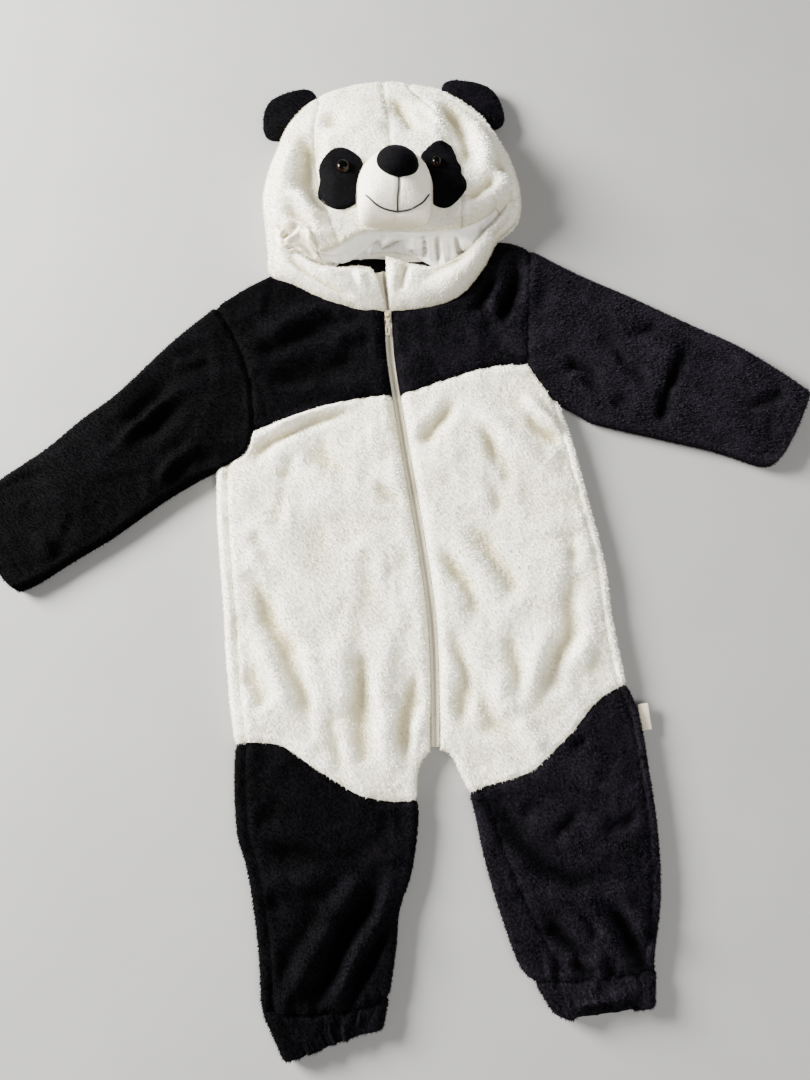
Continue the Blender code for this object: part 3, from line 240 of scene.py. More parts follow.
PAD_ROUND = 0.93      # share of a pad's radius from which it turns in to its seam
EYES = {"left": (-65.5, 392), "right": (33, 396.5)}
EYE_HALF = {"left": (7.2, 7.6), "right": (5.4, 6.8)}
EYE_RISE = 4.5
EYE_RIM = 1.2
EYE_DOME = 0.9        # share of its radius that its dome takes

# ---- lining of the hood, mm
LINING_LOW = [(-133, 315), (-117, 298), (-97, 289), (-81, 297), (-66, 311), (-38, 319), (-12, 320), (10, 315),
              (25, 306), (44, 297), (66, 311), (86, 330), (101, 352)]
LINING_FIRST, LINING_LAST = 4.7, 20.8   # rows of the hood's table that it hangs from
LINING_UNDER = 0.90   # how far under the brim it is sewn
LINING_DEEP = 34.0    # its cloth from its lower edge to the brim
LINING_LEAST = PLUSH + LAYER_GAP + SATIN    # its lowest level
# outline of the part of it that lies turned out at the hood's left corner
FLAP = [(-91, 304), (-94, 309), (-98, 319), (-105, 329), (-113, 333), (-130, 333), (-138, 328), (-139, 321),
        (-136, 314), (-130, 309), (-120, 307), (-113, 308), (-103, 303), (-91, 299), (-79, 296), (-85, 301)]
FLAP_ROUND = 14       # how many of its points, from the first, go round its middle
FLAP_RISE = 2.2
FLAP_BRIDGE = 1.5

# ---- creases and rolls, listed one by one: the line each follows in plan, its half width and height
FOLDS = [
    # belly, left front
    (((-161, 76), (-141, 99), (-116, 112), (-85, 125), (-47, 134)), 7, -5.5),
    (((-150, 97), (-120, 121), (-85, 135), (-48, 144)), 7, 4.0),
    (((-115, 92), (-118, 75), (-125, 57)), 8, -3.0),
    (((-98, 100), (-77, 78), (-54, 60)), 12, -3.2),
    (((-33, 60), (-15, 44), (5, 28)), 8, -3.6),
    (((-24, 74), (-4, 56), (8, 44)), 9, 2.2),
    (((-167, -33), (-143, -56), (-130, -88), (-114, -112), (-104, -139), (-94, -165), (-88, -205)), 10, -6.5),
    (((-154, -88), (-134, -120), (-118, -148), (-106, -176)), 9, 4.6),
    (((-128, -60), (-106, -96), (-86, -140), (-70, -180)), 14, 3.2),
    (((-134, 33), (-127, 10)), 8, -2.6),
    (((-156, 7), (-142, -13), (-136, -30)), 8, -3.2),
    (((-158, -125), (-142, -151), (-135, -172)), 9, -4.5),
    (((-74, -158), (-67, -198), (-57, -234)), 9, -3.6),
    (((-37, -108), (-43, -148), (-41, -188), (-33, -234)), 13, -4.4),
    (((-60, -88), (-62, -136), (-58, -178)), 13, 3.0),
    (((-12, -84), (-22, -130), (-18, -190), (-12, -236)), 11, 3.6),
    (((12, -124), (5, -165), (-1, -190), (4, -220)), 8, -5.5),
    (((22, -150), (12, -166)), 6, -3.0),
    (((14, -174), (12, -200), (14, -222)), 7, 2.6),
    # belly, right front
    (((57, 154), (41, 129), (26, 110), (16, 92)), 10, -4.5),
    (((68, 150), (96, 116), (123, 92), (152, 64)), 10, 4.2),
    (((78, 127), (87, 100), (102, 70), (108, 50)), 9, -4.5),
    (((82, 70), (91, 44), (93, 18)), 7, -3.6),
    (((120, 146), (142, 113), (168, 100)), 8, -4.6),
    (((124, 157), (134, 134), (152, 120), (170, 109)), 7, 4.8),
    (((24, 0), (55, -16), (79, -36), (104, -58)), 9, 4.2),
    (((35, -5), (50, -33), (64, -56), (81, -92)), 10, -6.5),
    (((60, 14), (83, -11), (99, -38), (122, -60)), 11, -4.8),
    (((42, -88), (51, -112), (60, -140), (55, -166), (55, -190)), 10, -5.6),
    (((93, -98), (105, -115), (111, -134), (117, -160)), 9, -4.6),
    (((75, -120), (74, -153), (81, -175), (98, -191), (118, -203)), 8, -3.6),
    (((92, -130), (94, -158), (106, -178)), 11, 3.2),
    (((174, -31), (163, -58), (164, -93), (151, -114), (135, -148), (124, -174)), 11, -6.0),
    (((140, -70), (134, -104), (122, -140), (118, -168)), 13, 3.6),
    (((181, -60), (178, -100), (160, -140)), 12, 3.0),
    (((161, 12), (167, -16), (164, -34)), 9, -3.6),
    (((106, -179), (131, -207)), 9, 3.0),
    # left leg
    (((-12, -322), (-22, -350), (-45, -385), (-57, -410), (-69, -434)), 8, 6.0),
    (((-23, -312), (-35, -345), (-55, -378), (-67, -406), (-96, -436)), 11, -7.0),
    (((-7, -357), (-22, -378), (-42, -406), (-52, -436)), 7, -6.0),
    (((-38, -314), (-53, -336), (-78, -366), (-97, -406), (-112, -434)), 11, 5.6),
    (((-71, -336), (-88, -369), (-102, -392), (-120, -416)), 10, -5.0),
    (((-133, -297), (-89, -302), (-51, -310)), 10, -3.8),
    (((-136, -318), (-100, -322), (-70, -326)), 11, 3.0),
    (((-129, -341), (-111, -348)), 7, -4.2),
    (((-142, -271), (-116, -266)), 9, -3.2),
    # right leg
    (((79, -246), (96, -273), (116, -300), (141, -318), (164, -324), (187, -316)), 10, -6.5),
    (((100, -319), (135, -336), (160, -355), (172, -376), (186, -397)), 9, 5.2),
    (((148, -336), (167, -360), (171, -378)), 5, -4.6),
    (((152, -329), (175, -355), (190, -381), (205, -404)), 8, 6.0),
    (((186, -338), (202, -362), (213, -387), (219, -402)), 9, -7.5),
    (((184, -324), (204, -348), (222, -380)), 9, 5.6),
    (((122, -357), (139, -369), (158, -385), (176, -384)), 8, -5.2),
    (((148, -387), (160, -399), (175, -404)), 6, -4.2),
    (((169, -259), (148, -275), (137, -285)), 5, -3.6),
    (((221, -263), (202, -273), (176, -281)), 6, -4.2),
    (((156, -203), (175, -199)), 5, -3.2),
    (((107, -263), (123, -262)), 5, -2.8),
    # right sleeve
    (((300, 214), (286, 189), (276, 167), (267, 137), (262, 119)), 6, -7.0),
    (((287, 217), (272, 190), (263, 166), (254, 140)), 10, 3.4),
    (((230, 219), (249, 222), (272, 233)), 7, -3.8),
    (((211, 219), (224, 196), (241, 174), (259, 157), (285, 131)), 11, -3.4),
    (((163, 189), (181, 181), (195, 171), (207, 149)), 8, -5.6),
    (((170, 164), (183, 175), (200, 166), (206, 152)), 7, 4.8),
    (((214, 139), (231, 154)), 9, -3.8),
    (((400, 159), (381, 147), (347, 135)), 7, -4.2),
    (((384, 137), (377, 113), (369, 94)), 7, -3.8),
    # left sleeve
    (((-244, 190), (-230, 187), (-210, 193)), 6, 3.4),
    (((-230, 162), (-259, 135), (-278, 115), (-297, 88)), 7, 5.2),
    (((-222, 150), (-250, 124), (-272, 98)), 11, -4.2),
    (((-244, 170), (-268, 142), (-290, 116)), 9, -3.4),
    (((-210, 97), (-235, 80), (-254, 51)), 8, 4.6),
    (((-374, 5), (-360, -8), (-351, -24)), 6, 3.8),
    # yoke
    (((-77, 247), (-114, 236), (-150, 210)), 12, 4.6),
    (((-77, 233), (-121, 213), (-160, 193)), 10, -5.6),
    (((-42, 224), (-63, 216), (-84, 201)), 9, 3.6),
    (((-47, 196), (-97, 176), (-149, 171)), 14, -4.6),
    (((117, 313), (121, 284), (108, 255), (101, 224)), 9, -6.0),
    (((131, 302), (134, 276), (125, 244)), 9, 4.4),
    (((104, 284), (99, 265), (85, 247)), 8, 5.0),
    (((95, 294), (85, 263), (68, 242)), 8, -5.2),
]

HOOD_FOLDS = [
    # beside the forehead seam, and across the brow
    (((-18, 511), (-3, 467), (12, 433)), 10, -9.5),
    (((26, 512), (34, 466), (44, 424)), 13, 5.0),
    (((-82, 474), (-82, 460), (-80, 444)), 11, -6.0),
    (((-73, 439), (-46, 447), (-19, 441)), 9, 4.5),
    (((-58, 500), (-44, 478), (-34, 462)), 13, 3.0),
    (((22, 463), (35, 444), (53, 399)), 5, -2.5),
    # left side: the trough beside the face and the roll outside it
    (((-100, 452), (-104, 395), (-84, 334)), 14, -14.5),
    (((-128, 440), (-134, 385), (-138, 345)), 16, 5.0),
    (((-119, 371), (-105, 351), (-86, 332)), 9, 8.0),
    (((-128, 357), (-111, 336), (-95, 320)), 9, -7.0),
    # right side
    (((40, 498), (60, 446), (69, 396)), 14, -12.0),
    (((56, 482), (82, 430), (90, 388)), 14, 5.5),
    (((117, 397), (84, 362), (44, 336)), 11, 7.0),
    (((63, 357), (82, 371), (104, 389)), 9, -8.0),
    (((112, 430), (104, 410), (98, 392)), 11, -4.5),
    # chin
    (((-138, 340), (-96, 316), (-54, 303)), 12, 4.5),
    (((-128, 309), (-111, 292), (-93, 279), (-69, 265), (-52, 259)), 4.4, -9.0),
    (((-126, 318), (-100, 296), (-62, 276)), 8, 5.5),
    (((-46, 292), (-48, 278), (-42, 266)), 4.5, 2.8),
    (((-60, 290), (-57, 280), (-50, 270)), 4.5, -3.0),
    (((76, 318), (40, 292), (11, 269)), 10, -5.0),
    (((86, 300), (58, 278), (30, 258)), 11, 4.0),
    # end of the right chin, folded up beside the zip
    (((5, 306), (-1, 284), (-6, 262)), 5, -5.0),
    (((-13, 306), (-12, 286), (-14, 264)), 7, 3.5),
]

# folds of the hood's lining: along the opening, and up from its lower edge to the brim
LINING_FOLDS = [
    (((-92, 12), (-62, 13), (-30, 24)), 4.5, 3.6),
    (((-86, 4), (-62, 6), (-44, 14)), 2.4, -4.0),
    (((-58, 0), (-44, 8), (-33, 17)), 3.4, 4.2),
    (((-50, 1), (-38, 10), (-26, 22)), 2.2, -5.0),
    (((-38, 2), (-28, 14), (-13, 29)), 3.4, 4.4),
    (((-28, 1), (-16, 12), (-2, 22)), 2.2, -4.6),
    (((-14, 3), (0, 10), (10, 20)), 4.0, 2.8),
    (((9, 28), (12, 14), (13, 1)), 2.8, 3.4),
    (((19, 30), (20, 14), (19, 1)), 1.9, -4.0),
    (((26, 28), (27, 14), (28, 1)), 2.8, 3.8),
    (((34, 30), (34, 14), (36, 1)), 1.9, -4.0),
    (((40, 26), (42, 12), (46, 1)), 3.0, 3.6),
    (((52, 30), (58, 16), (70, 4)), 2.6, -4.4),
    (((60, 30), (70, 18), (86, 10)), 4.5, 3.6),
    (((-112, 20), (-100, 14), (-88, 20)), 5.0, 3.0),
]

FLAP_FOLDS = [
    (((-129, 316), (-120, 320), (-110, 322)), 2.8, 3.6),
    (((-135, 320), (-122, 325), (-110, 328)), 2.4, -3.4),
    (((-129, 331), (-131, 326), (-133, 322)), 2.2, 2.4),
    (((-104, 318), (-97, 307), (-86, 300)), 2.4, 3.0),
    (((-114, 315), (-104, 310), (-92, 302)), 2.6, -2.6),
    (((-126, 309), (-117, 314)), 2.0, -2.2),
    (((-133, 312), (-124, 313), (-112, 316)), 2.0, 1.6),
]

# ---- mouth, mm
MOUTH_LINE = [(-6.5, 366), (-6.5, 350), (-7.5, 341.5), (-7.5, 333)]
MOUTH_SMILE = [(-41, 347.5), (-33.5, 340), (-26.5, 336), (-17.5, 333.8), (-7.5, 333.2), (2.5, 333.5),
               (11, 335.8), (19, 341), (25.5, 353)]
MUZZLE_SEAM = [(-7, 332), (-7.5, 329), (-8, 326)]
MOUTH_THREAD, THREAD_SUNK = 1.0, 0.25    # radius, and share of its thickness that lies in the plush
THREAD_POINTS = 60
# what draws the muzzle in: line, depth and half width
MUZZLE_DRAWN = ((MOUTH_LINE, 1.5, 2.2), (MOUTH_SMILE, 1.4, 2.2), (MUZZLE_SEAM, 0.7, 2.0))

# ---- pile, for each piece: length and width of a tuft, mm, and tufts to the square millimetre
IVORY_PILE, BLACK_PILE, SHORT_PILE = (2.4, 0.5, 0.28), (2.2, 0.42, 0.34), (1.2, 0.3, 0.35)
NAP_SWIRL = 1.5
NAP = (0.0, -0.8, 0.0)    # way the pile lies: down the body and legs, and down each sleeve to its wrist
NAPS = {"sleeve_left": (-0.62, -0.5, 0.0), "sleeve_right": (0.75, -0.35, 0.0)}
PILED = {name + "_" + side: BLACK_PILE for side in SIDES
         for name in ("yoke_front", "sleeve", "leg_front", "leg_back", "ankle_cuff", "ear")}
PILED.update({name + "_" + side: IVORY_PILE for side in SIDES
              for name in ("belly_front", "belly_back", "chin", "hood_side", "hood_face")}, hood_back=IVORY_PILE)
PILED.update(dict.fromkeys(("muzzle", "nose", "eye_patch_left", "eye_patch_right"), SHORT_PILE))

# ---- what each front lies on, and the nodes that a piece stands for where its name isn't theirs
BACKS = {front + side: back + side for side in SIDES for front, back in (
    ("belly_front_", "belly_back_"), ("leg_front_", "leg_back_"), ("eye_patch_", "hood_side_"))}
BACKS.update({"yoke_front_" + side: "yoke_back" for side in SIDES})
BACKS.update({name + side: "hood_back" for side in SIDES for name in ("chin_", "hood_side_", "hood_face_")},
             hood_lining="hood_back", lining_turned_out="hood_side_left")
NODES = {"muzzle": ["muzzle_left", "muzzle_right"], "label_tab": ["side_label"], "lining_turned_out": []}

# ---- looks: deep, light and tip of the pile, the painted shade tone of its hollows, size of its nap and its
# grain in mm, roughness, sheen and its tint, relief, gloss, and how much deeper the garment's left is painted,
# as painted shade where the pile lies away from the light
PLUSHES = {
    "ivory plush": ("#ebe6d2", "#f8f5e8", "#fffef8", "#c8bf9c", 30.0, 2.4, 0.92, 0.2, "#ffffff", 1.0, 0.2, 0.0),
    "short ivory plush": ("#f0eada", "#f8f2e4", "#fdfaf0", "#d9d1b8", 22.0, 1.6, 0.9, 0.2, "#ffffff", 0.4, 0.2,
                          0.0),
    "black plush": ("#010101", "#100e12", "#221f26", "#010101", 24.0, 2.4, 0.85, 0.014, "#a9a6c8", 1.0, 0.025,
                    0.88),
    "short black plush": ("#010101", "#09080a", "#161419", "#010101", 20.0, 1.8, 0.85, 0.03, "#a9a6c8", 0.4,
                          0.04, 0.8),
}
# each satin: tone of its drawn threads, its light tone and the painted shade of its creases; the second is the
# white satin painted warmer and darker, as the warm light the fur throws on it and its shade
SATINS = {"white satin": ("#f2f0ea", "#fcfbf8", "#a9a295"), "satin painted warm and shaded": ("#d6cdb2", "#ebe5d1", "#8f8564")}
SIDE_LIGHT_RUN = (-0.2, 0.26)      # where along X the garment goes over from its painted shade on the left to its painted sheen on the right, m
SHADED_RUN = (-0.45, 1.3)     # share of a hollow's depth over which its painted shade sets in
GAP_SHADE = 0.35                   # how much of the hollows' painted shade tone shows between the tufts, as painted shade down in the pile
SATIN_THREAD = 1.1            # threads 0.1 mm apart are drawn this far apart, so that they show at all
PUPIL_EDGE, IRIS_EDGE = (0.74, 0.79), (0.88, 0.93)    # shares of an eye's radius

# ---- stage, metres
FLOOR_HALF = 3.0
FLOOR_DROP = -0.0005
FLOOR_DARK, FLOOR_LIGHT = "#939392", "#9b9b99"
AMBIENT = 0.27
LIGHTS = (("window", (-1.95, 0.78, 0.92), (1.0, 0.8), 395.0),    # name, place, size and power
          ("fill", (0.9, -0.9, 1.9), (1.4, 1.4), 40.0))
LIGHT_COLOUR, SKY_COLOUR = (1.0, 0.985, 0.955), (0.98, 0.98, 1.0, 1.0)
LENS, SENSOR = 27.0, 36.0
CAMERA_SPOT = (0.0115, -0.2027, 0.808)
CAMERA_TIP = 12.0

SUFFIX = "_cloth"
PIECES = {}    # finished walls, by name

# ---- how finely the cloth is made, and its relief, mm
# cells of a piece from its first row to its last, and from its first column to its last
GRIDS = {"belly_front": (96, 64), "belly_back": (60, 24), "leg_front_left": (66, 52),
         "leg_front_right": (66, 44), "leg_back": (46, 22), "yoke_front": (56, 44), "yoke_back": (72, 26),
         "sleeve": (92, 44), "ankle_cuff": (22, 109), "hood_back": (110, 26), "hood_lining": (150, 44),
         "ear": (30, 30)}
# how much closer the rows and columns stand at a piece's edges: usually, on the hood and what is small,
# on discs, on backs, round the sleeves and on the hood's back, and on the lining
ENDS, HOOD_ENDS, DISC_ENDS, SOFT_ENDS, EVEN_ENDS, FLAT_ENDS = 0.72, 0.5, 0.45, 0.4, 0.3, 0.2
FINE = 16             # samples of a border to one of its cells
STEPS = np.linspace(0, 1, FINE + 1)[:, None]    # along one cell
CURVE_STEPS = 24
QUARTER = np.arange(0.0, 90.0, 15.0)    # stations on a turn, degrees up from the side
OVER = np.arange(90.0, -90.0, -15.0)    # stations from the top round to the underside
VALLEY = 1.9          # how deep the pile parts at a seam
VALLEY_HALF = 3.4
PUCKER, PUCKER_RUN = 0.3, 2.6    # share by which that depth varies along the seam, and over what length
CROWDED = 0.3         # share of the usual cell below which cells are evened out
CROWD_REACH, EASE_TIMES = 5, 80    # cells around them that are evened with them, and how often
RIM = 3.1             # round of an edge that ends free
RIM_THIN = 0.47       # share of the wall that it is thinned by from each side
SWELL = (85.0, 2.2)   # size and height of its broad unevenness
CRUMPLE = ((44.0, 1.8), (21.0, 1.15), (9.0, 0.5))    # the same for its soft creases
WANDER = (1.3, 0.35)  # size and reach of a crease's wandering, to the crease's own size
CREST_ROUND = 0.015   # how round its crest is
FOLD_WIDTH, FOLD_HEIGHT = (19.0, 0.25, 40), (33.0, 0.3, 90)    # a fold's unevenness: size, share and seed
FOLD_ENDS = (3.2, 0.06)    # how soon it rises from its ends, and its height there
FOLD_SHOULDER, FOLD_ROUND = 0.55, 0.7
FOLDS_RISE = 1.2      # how much the body's folds are raised over their table
EDGE_CALM, EDGE_RUN, ZIP_CALM = 0.6 * ROLL, 14.0, 7.0    # distances in which folds die out at sides and zip
ZIP_EASE = 4.0        # and in which the plush dips to the zip
HOLLOW, HOLLOW_TIMES = 6.0, 70    # depth of a hollow wholly shaded, and how far its surroundings reach
PILE_FROM, PILE_OVER = 2.5, 4.0    # heights from which, and over which, a piece has its pile
UNDER_CRUMPLE = 1.1
FLOOR_OF_TROUGH, TROUGH_SOFT = 8.4, 1.2    # no trough runs deeper than this above the surface
MOUTH_BACK, MOUTH_UP = 15.0, 9.0    # how far the top of the right cuff stands back and up at its open mouth
DRAWN, DRAWN_RUN = 2.4, 26.0    # height of the small folds above the elastic, and how far they run up
DRAWN_LENGTH = 70.0
CREASE = 3.2          # depth at which a crease of the lining is painted darkest, as shade
WRIST_FLAT = 0.35     # share of its folds' height that a sleeve has at its wrist
HEM_STITCH = 0.9      # how deep the hem's stitching draws the plush in


# ---------------------------------------------------------------- plan geometry
def smooth(t):
    """Eased step from 0 to 1."""
    t = np.clip(t, 0.0, 1.0)
    return t * t * (3 - 2 * t)


def spline(a, b, c, d, t):
    """Smooth run from b to c, led by the points before and after them."""
    return 0.5 * (2 * b + (c - a) * t + (2 * a - 5 * b + 4 * c - d) * t * t + (3 * b - a - 3 * c + d) * t ** 3)


def curve(points):
    """Smooth line through plan points, closely sampled."""
    p = np.asarray(points, float)
    p = np.vstack((2 * p[0] - p[1], p, 2 * p[-1] - p[-2]))
    t = (np.arange(CURVE_STEPS) / CURVE_STEPS)[:, None]
    return np.vstack([spline(*four, t) for four in zip(p, p[1:], p[2:], p[3:])] + [p[-2:-1]])


def along(line, shares, skip=(0.0, 0.0)):
    """Points at shares of a polyline's length, less a stretch at each end."""
    run = np.concatenate(([0.0], np.cumsum(np.linalg.norm(np.diff(line, axis=0), axis=1))))
    at_run = skip[0] + (run[-1] - skip[0] - skip[1]) * np.asarray(shares)
    return np.stack([np.interp(at_run, run, line[:, k]) for k in range(line.shape[1])], axis=1)


def border(points, cells, skip=(0.0, 0.0)):
    """A piece's edge in equal cells, each finely sampled."""
    return along(curve(points), np.linspace(0, 1, cells * FINE + 1), skip)


def both(name, cells, skip=(0.0, 0.0)):
    """The border of that name at each side."""
    return {side: border(POINTS[side][name], cells, skip) for side in SIDES}


def at(line, shares):
    """Points of a sampled border at shares of its count."""
    index = np.linspace(0, 1, len(line))
    return np.stack([np.interp(shares, index, line[:, k]) for k in range(line.shape[1])], axis=1)


def spread(cells, ends=ENDS):
    """Shares from 0 to 1, closer together at both ends."""
    t = np.linspace(0, 1, cells + 1)
    return t - ends * np.sin(2 * np.pi * t) / (2 * np.pi)


def meshed(name, ends=ENDS):
    """Shares at which a piece's rows and columns stand."""
    return [spread(cells, ends) for cells in GRIDS[name]]


def unit(vectors):
    """Vectors of length 1."""
    return vectors / np.maximum(np.linalg.norm(vectors, axis=-1, keepdims=True), 1e-9)


def inset(side, depth, first, last, facing):
    """A border moved square to itself into the cloth, running smoothly to its given ends."""
    run = unit(np.gradient(side, axis=0))
    shift = np.stack((-run[:, 1], run[:, 0]), axis=1) * facing * np.reshape(depth, (-1, 1))
    shift[:FINE + 1] = (1 - STEPS) * (first - side[0]) + STEPS * shift[FINE]
    shift[-FINE - 1:] = STEPS * (last - side[-1]) + (1 - STEPS) * shift[-FINE - 1]
    return side + shift


def stretched(line, end, cells):
    """A border carried on straight to an end point."""
    steps = np.linspace(0, 1, cells * FINE + 1)[1:, None]
    return np.vstack((line, line[-1] + (np.array(end, float) - line[-1]) * steps))


def patch(left, right, bottom, top, rows, columns):
    """Grid of plan points between four borders, at the shares given."""
    left, right = at(left, rows)[:, None], at(right, rows)[:, None]
    bottom, top = at(bottom, columns)[None], at(top, columns)[None]
    u, v = columns[None, :, None], rows[:, None, None]
    corners = ((1 - u) * (1 - v) * bottom[:, :1] + u * (1 - v) * bottom[:, -1:]
               + (1 - u) * v * top[:, :1] + u * v * top[:, -1:])
    grid = (1 - v) * bottom + v * top + (1 - u) * left + u * right - corners
    return eased(grid, rows, columns)


def eased(grid, rows, columns):
    """The grid with its cells evened out where they crowd or cross, near a sharp corner of a border."""
    over = np.gradient(grid, columns, axis=1)
    up = np.gradient(grid, rows, axis=0)
    size = over[..., 0] * up[..., 1] - over[..., 1] * up[..., 0]
    tight = size * np.sign(np.median(size)) < CROWDED * abs(np.median(size))
    for _ in range(CROWD_REACH):
        tight[1:-1, 1:-1] |= tight[:-2, 1:-1] | tight[2:, 1:-1] | tight[1:-1, :-2] | tight[1:-1, 2:]
    tight = tight[1:-1, 1:-1, None]
    before, after = np.diff(rows)[:-1, None, None], np.diff(rows)[1:, None, None]
    ahead, behind = np.diff(columns)[1:, None], np.diff(columns)[:-1, None]
    for _ in range(EASE_TIMES):
        calm = 0.5 * ((grid[:-2, 1:-1] * after + grid[2:, 1:-1] * before) / (before + after)
                      + (grid[1:-1, :-2] * ahead + grid[1:-1, 2:] * behind) / (ahead + behind))
        grid[1:-1, 1:-1] = np.where(tight, calm, grid[1:-1, 1:-1])
    return grid


def nearest(line, spots):
    """Distance from spots to a polyline, and the share of its count where each is nearest."""
    a, ab = line[:-1], np.diff(line, axis=0)
    flat = spots.reshape(-1, 2)
    t = np.clip(((flat[:, None] - a) * ab).sum(2) / (ab ** 2).sum(1), 0, 1)
    away = np.linalg.norm(flat[:, None] - a - ab * t[..., None], axis=2)
    k = away.argmin(axis=1)
    pick = np.arange(len(flat))
    shape = spots.shape[:-1]
    return away[pick, k].reshape(shape), ((k + t[pick, k]) / len(a)).reshape(shape)


def ripple(spots, size, seed):
    """Smooth random relief between -1 and 1, from a hash of each cell's corners."""
    p = spots / size + 1000.0
    cell = np.floor(p).astype(np.int64)
    f = smooth(p - cell)

    def corner(i, j):
        n = (cell[..., 0] + i) * 374761393 + (cell[..., 1] + j) * 668265263 + seed * 69069
        n = ((n ^ (n >> 13)) * 1274126177) & 0xFFFFFFFF
        return ((n ^ (n >> 16)) & 0xFFFF) / 32767.5 - 1
    low = corner(0, 0) * (1 - f[..., 0]) + corner(1, 0) * f[..., 0]
    high = corner(0, 1) * (1 - f[..., 0]) + corner(1, 1) * f[..., 0]
    return low * (1 - f[..., 1]) + high * f[..., 1]


def crinkle(spots, size, seed):
    """Relief between -1 and 1 whose crests run in thin, wandering lines, as in cloth pushed together."""
    wander = np.stack([ripple(spots, WANDER[0] * size, seed + k) for k in (50, 51)], axis=-1)
    return 1 - 2 * np.sqrt(ripple(spots + WANDER[1] * size * wander, size, seed) ** 2 + CREST_ROUND)


def crumpled(spots, seed):
    """The cloth's own unevenness: broad swells, soft creases over them and a fine crinkle."""
    total = SWELL[1] * ripple(spots, SWELL[0], seed)
    for k, (size, rise) in enumerate(CRUMPLE):
        total += rise * crinkle(spots, size, seed + 1 + k)
    return total


def uneven(spots, kind, k):
    """Factor around 1 that varies from patch to patch."""
    size, share, seed = kind
    return 1 + share * ripple(spots, size, seed + k)


def folded(folds, spots):
    """Height of the listed creases: soft, uneven, with a slight shoulder on each side."""
    total = np.zeros(spots.shape[:-1])
    for k, (points, half, height) in enumerate(folds):
        away, share = nearest(curve(points)[::6], spots)
        q = away / (half * uneven(spots, FOLD_WIDTH, k))
        ends = smooth(FOLD_ENDS[0] * np.minimum(share, 1 - share) + FOLD_ENDS[1]) * uneven(spots, FOLD_HEIGHT, k)
        total += height * ends * (1 - FOLD_SHOULDER * q * q) * np.exp(-FOLD_ROUND * q * q)
    return total


# ---------------------------------------------------------------- outline of the body
def sleeve_side(points):
    """A sleeve's edge from armhole to wrist, with a cell for the hem."""
    whole = along(curve(points), np.linspace(0, 1, 200))
    run = np.linalg.norm(np.diff(whole, axis=0), axis=1).sum()
    main = along(whole, np.linspace(0, 1 - HEM / run, (SLEEVE_CELLS - 1) * FINE + 1))
    return np.vstack((main, along(whole, np.linspace(1 - HEM / run, 1, FINE + 1))[1:]))


SIDE, ARCH, SHOULDER = both("side", SIDE_CELLS), both("arch", ARCH_CELLS), both("shoulder", 3)
LEG_OUT, LEG_IN = both("leg outside", LEG_CELLS), both("leg inside", LEG_CELLS)
SLEEVE_TOP, SLEEVE_UNDER = ({side: sleeve_side(POINTS[side][name]) for side in SIDES}
                            for name in ("sleeve top", "sleeve under"))
ARM = {side: border(POINTS[side]["underarm"], ARM_CELLS, (LIP[side], 0.0)) for side in SIDES}
ARMHOLE = both("armhole", YOKE_CELLS, (0.0, ROLL))
YOKE_SEAM = both("yoke seam", YOKE_SEAM_CELLS, (0.0, ROLL))
YOKE_SEAM_BACK = {side: border(POINTS[side]["yoke seam"][:-1] + [ZIP_AT_YOKE], BACK_CELLS, (0.0, ROLL))
                  for side in SIDES}
LEG_SEAM = {side: border(POINTS[side]["leg seam"], FRONT_CELLS[side], (LIP[side], INSIDE[side][-1]))
            for side in SIDES}
LEG_SEAM_BACK = both("leg seam", LOW_CELLS, (ROLL, ROLL))
ZIP_LINE = curve(ZIP)
EDGES = [line[::8] for group in (SIDE, LEG_OUT, LEG_IN, ARCH, SLEEVE_TOP, SLEEVE_UNDER, SHOULDER)
         for line in group.values()]
EDGES.append(np.array((ARCH["left"][-1], ARCH["right"][-1])))


def drawn(spots):
    """Small folds that the ankles' elastic draws into the leg above it."""
    total = np.zeros(spots.shape[:-1])
    for k, side in enumerate(SIDES):
        away, share = nearest(curve(POINTS[side]["ankle top"])[::6], spots)
        around = np.stack((GATHERS * share, away / DRAWN_LENGTH), axis=-1)
        wave = ripple(around, 0.5, 61 + k) + 0.4 * ripple(around, 0.24, 63 + k)
        total += DRAWN * wave * np.exp(-(away / DRAWN_RUN) ** 2)
    return total


def calm_level(spots):
    """Level of the padded cloth without its creases, and its distances from the edges and the zip."""
    away = np.min([nearest(line, spots)[0] for line in EDGES], axis=0)
    near_zip = np.maximum(nearest(ZIP_LINE[::6], spots)[0] - ZIP_HALF, 0.0)
    dip = ZIP_DIP * np.exp(-(near_zip / ZIP_EASE) ** 2)
    return 2 * ROLL + PUFF * smooth((away - ROLL) / PUFF_RUN) - dip, away, near_zip


def body_height(spots):
    """Top of the body, sleeves and legs at plan points, creases included."""
    level, away, near_zip = calm_level(spots)
    inside = smooth((away - EDGE_CALM) / EDGE_RUN)
    relief = FOLDS_RISE * folded(FOLDS, spots) + crumpled(spots, 1)
    level = level + relief * inside * (1 - np.exp(-(near_zip / ZIP_CALM) ** 2)) + inside * drawn(spots)
    return FLOOR_OF_TROUGH + np.logaddexp(0.0, (level - FLOOR_OF_TROUGH) / TROUGH_SOFT) * TROUGH_SOFT


# ---------------------------------------------------------------- walls of cloth
def lifted(spots, height):
    """Plan points with their height."""
    return np.concatenate((spots, np.broadcast_to(height, spots.shape[:-1])[..., None]), axis=-1)


def top_pair(spots, height):
    """Outer and inner points of an upper layer, thinned where it would press into the back."""
    return lifted(spots, height), lifted(spots, np.maximum(height - PLUSH, PLUSH + LAYER_GAP))


def body_top(spots):
    """Outer and inner points of the body's upper layer."""
    return top_pair(spots, body_height(spots))


def under_pair(spots):
    """Outer and inner points of a layer on the surface, lifted off it here and there."""
    off = UNDER_CRUMPLE * np.maximum(ripple(spots, 34.0, 7) + 0.5 * ripple(spots, 15.0, 8), 0.0)
    return lifted(spots, off), lifted(spots, PLUSH)


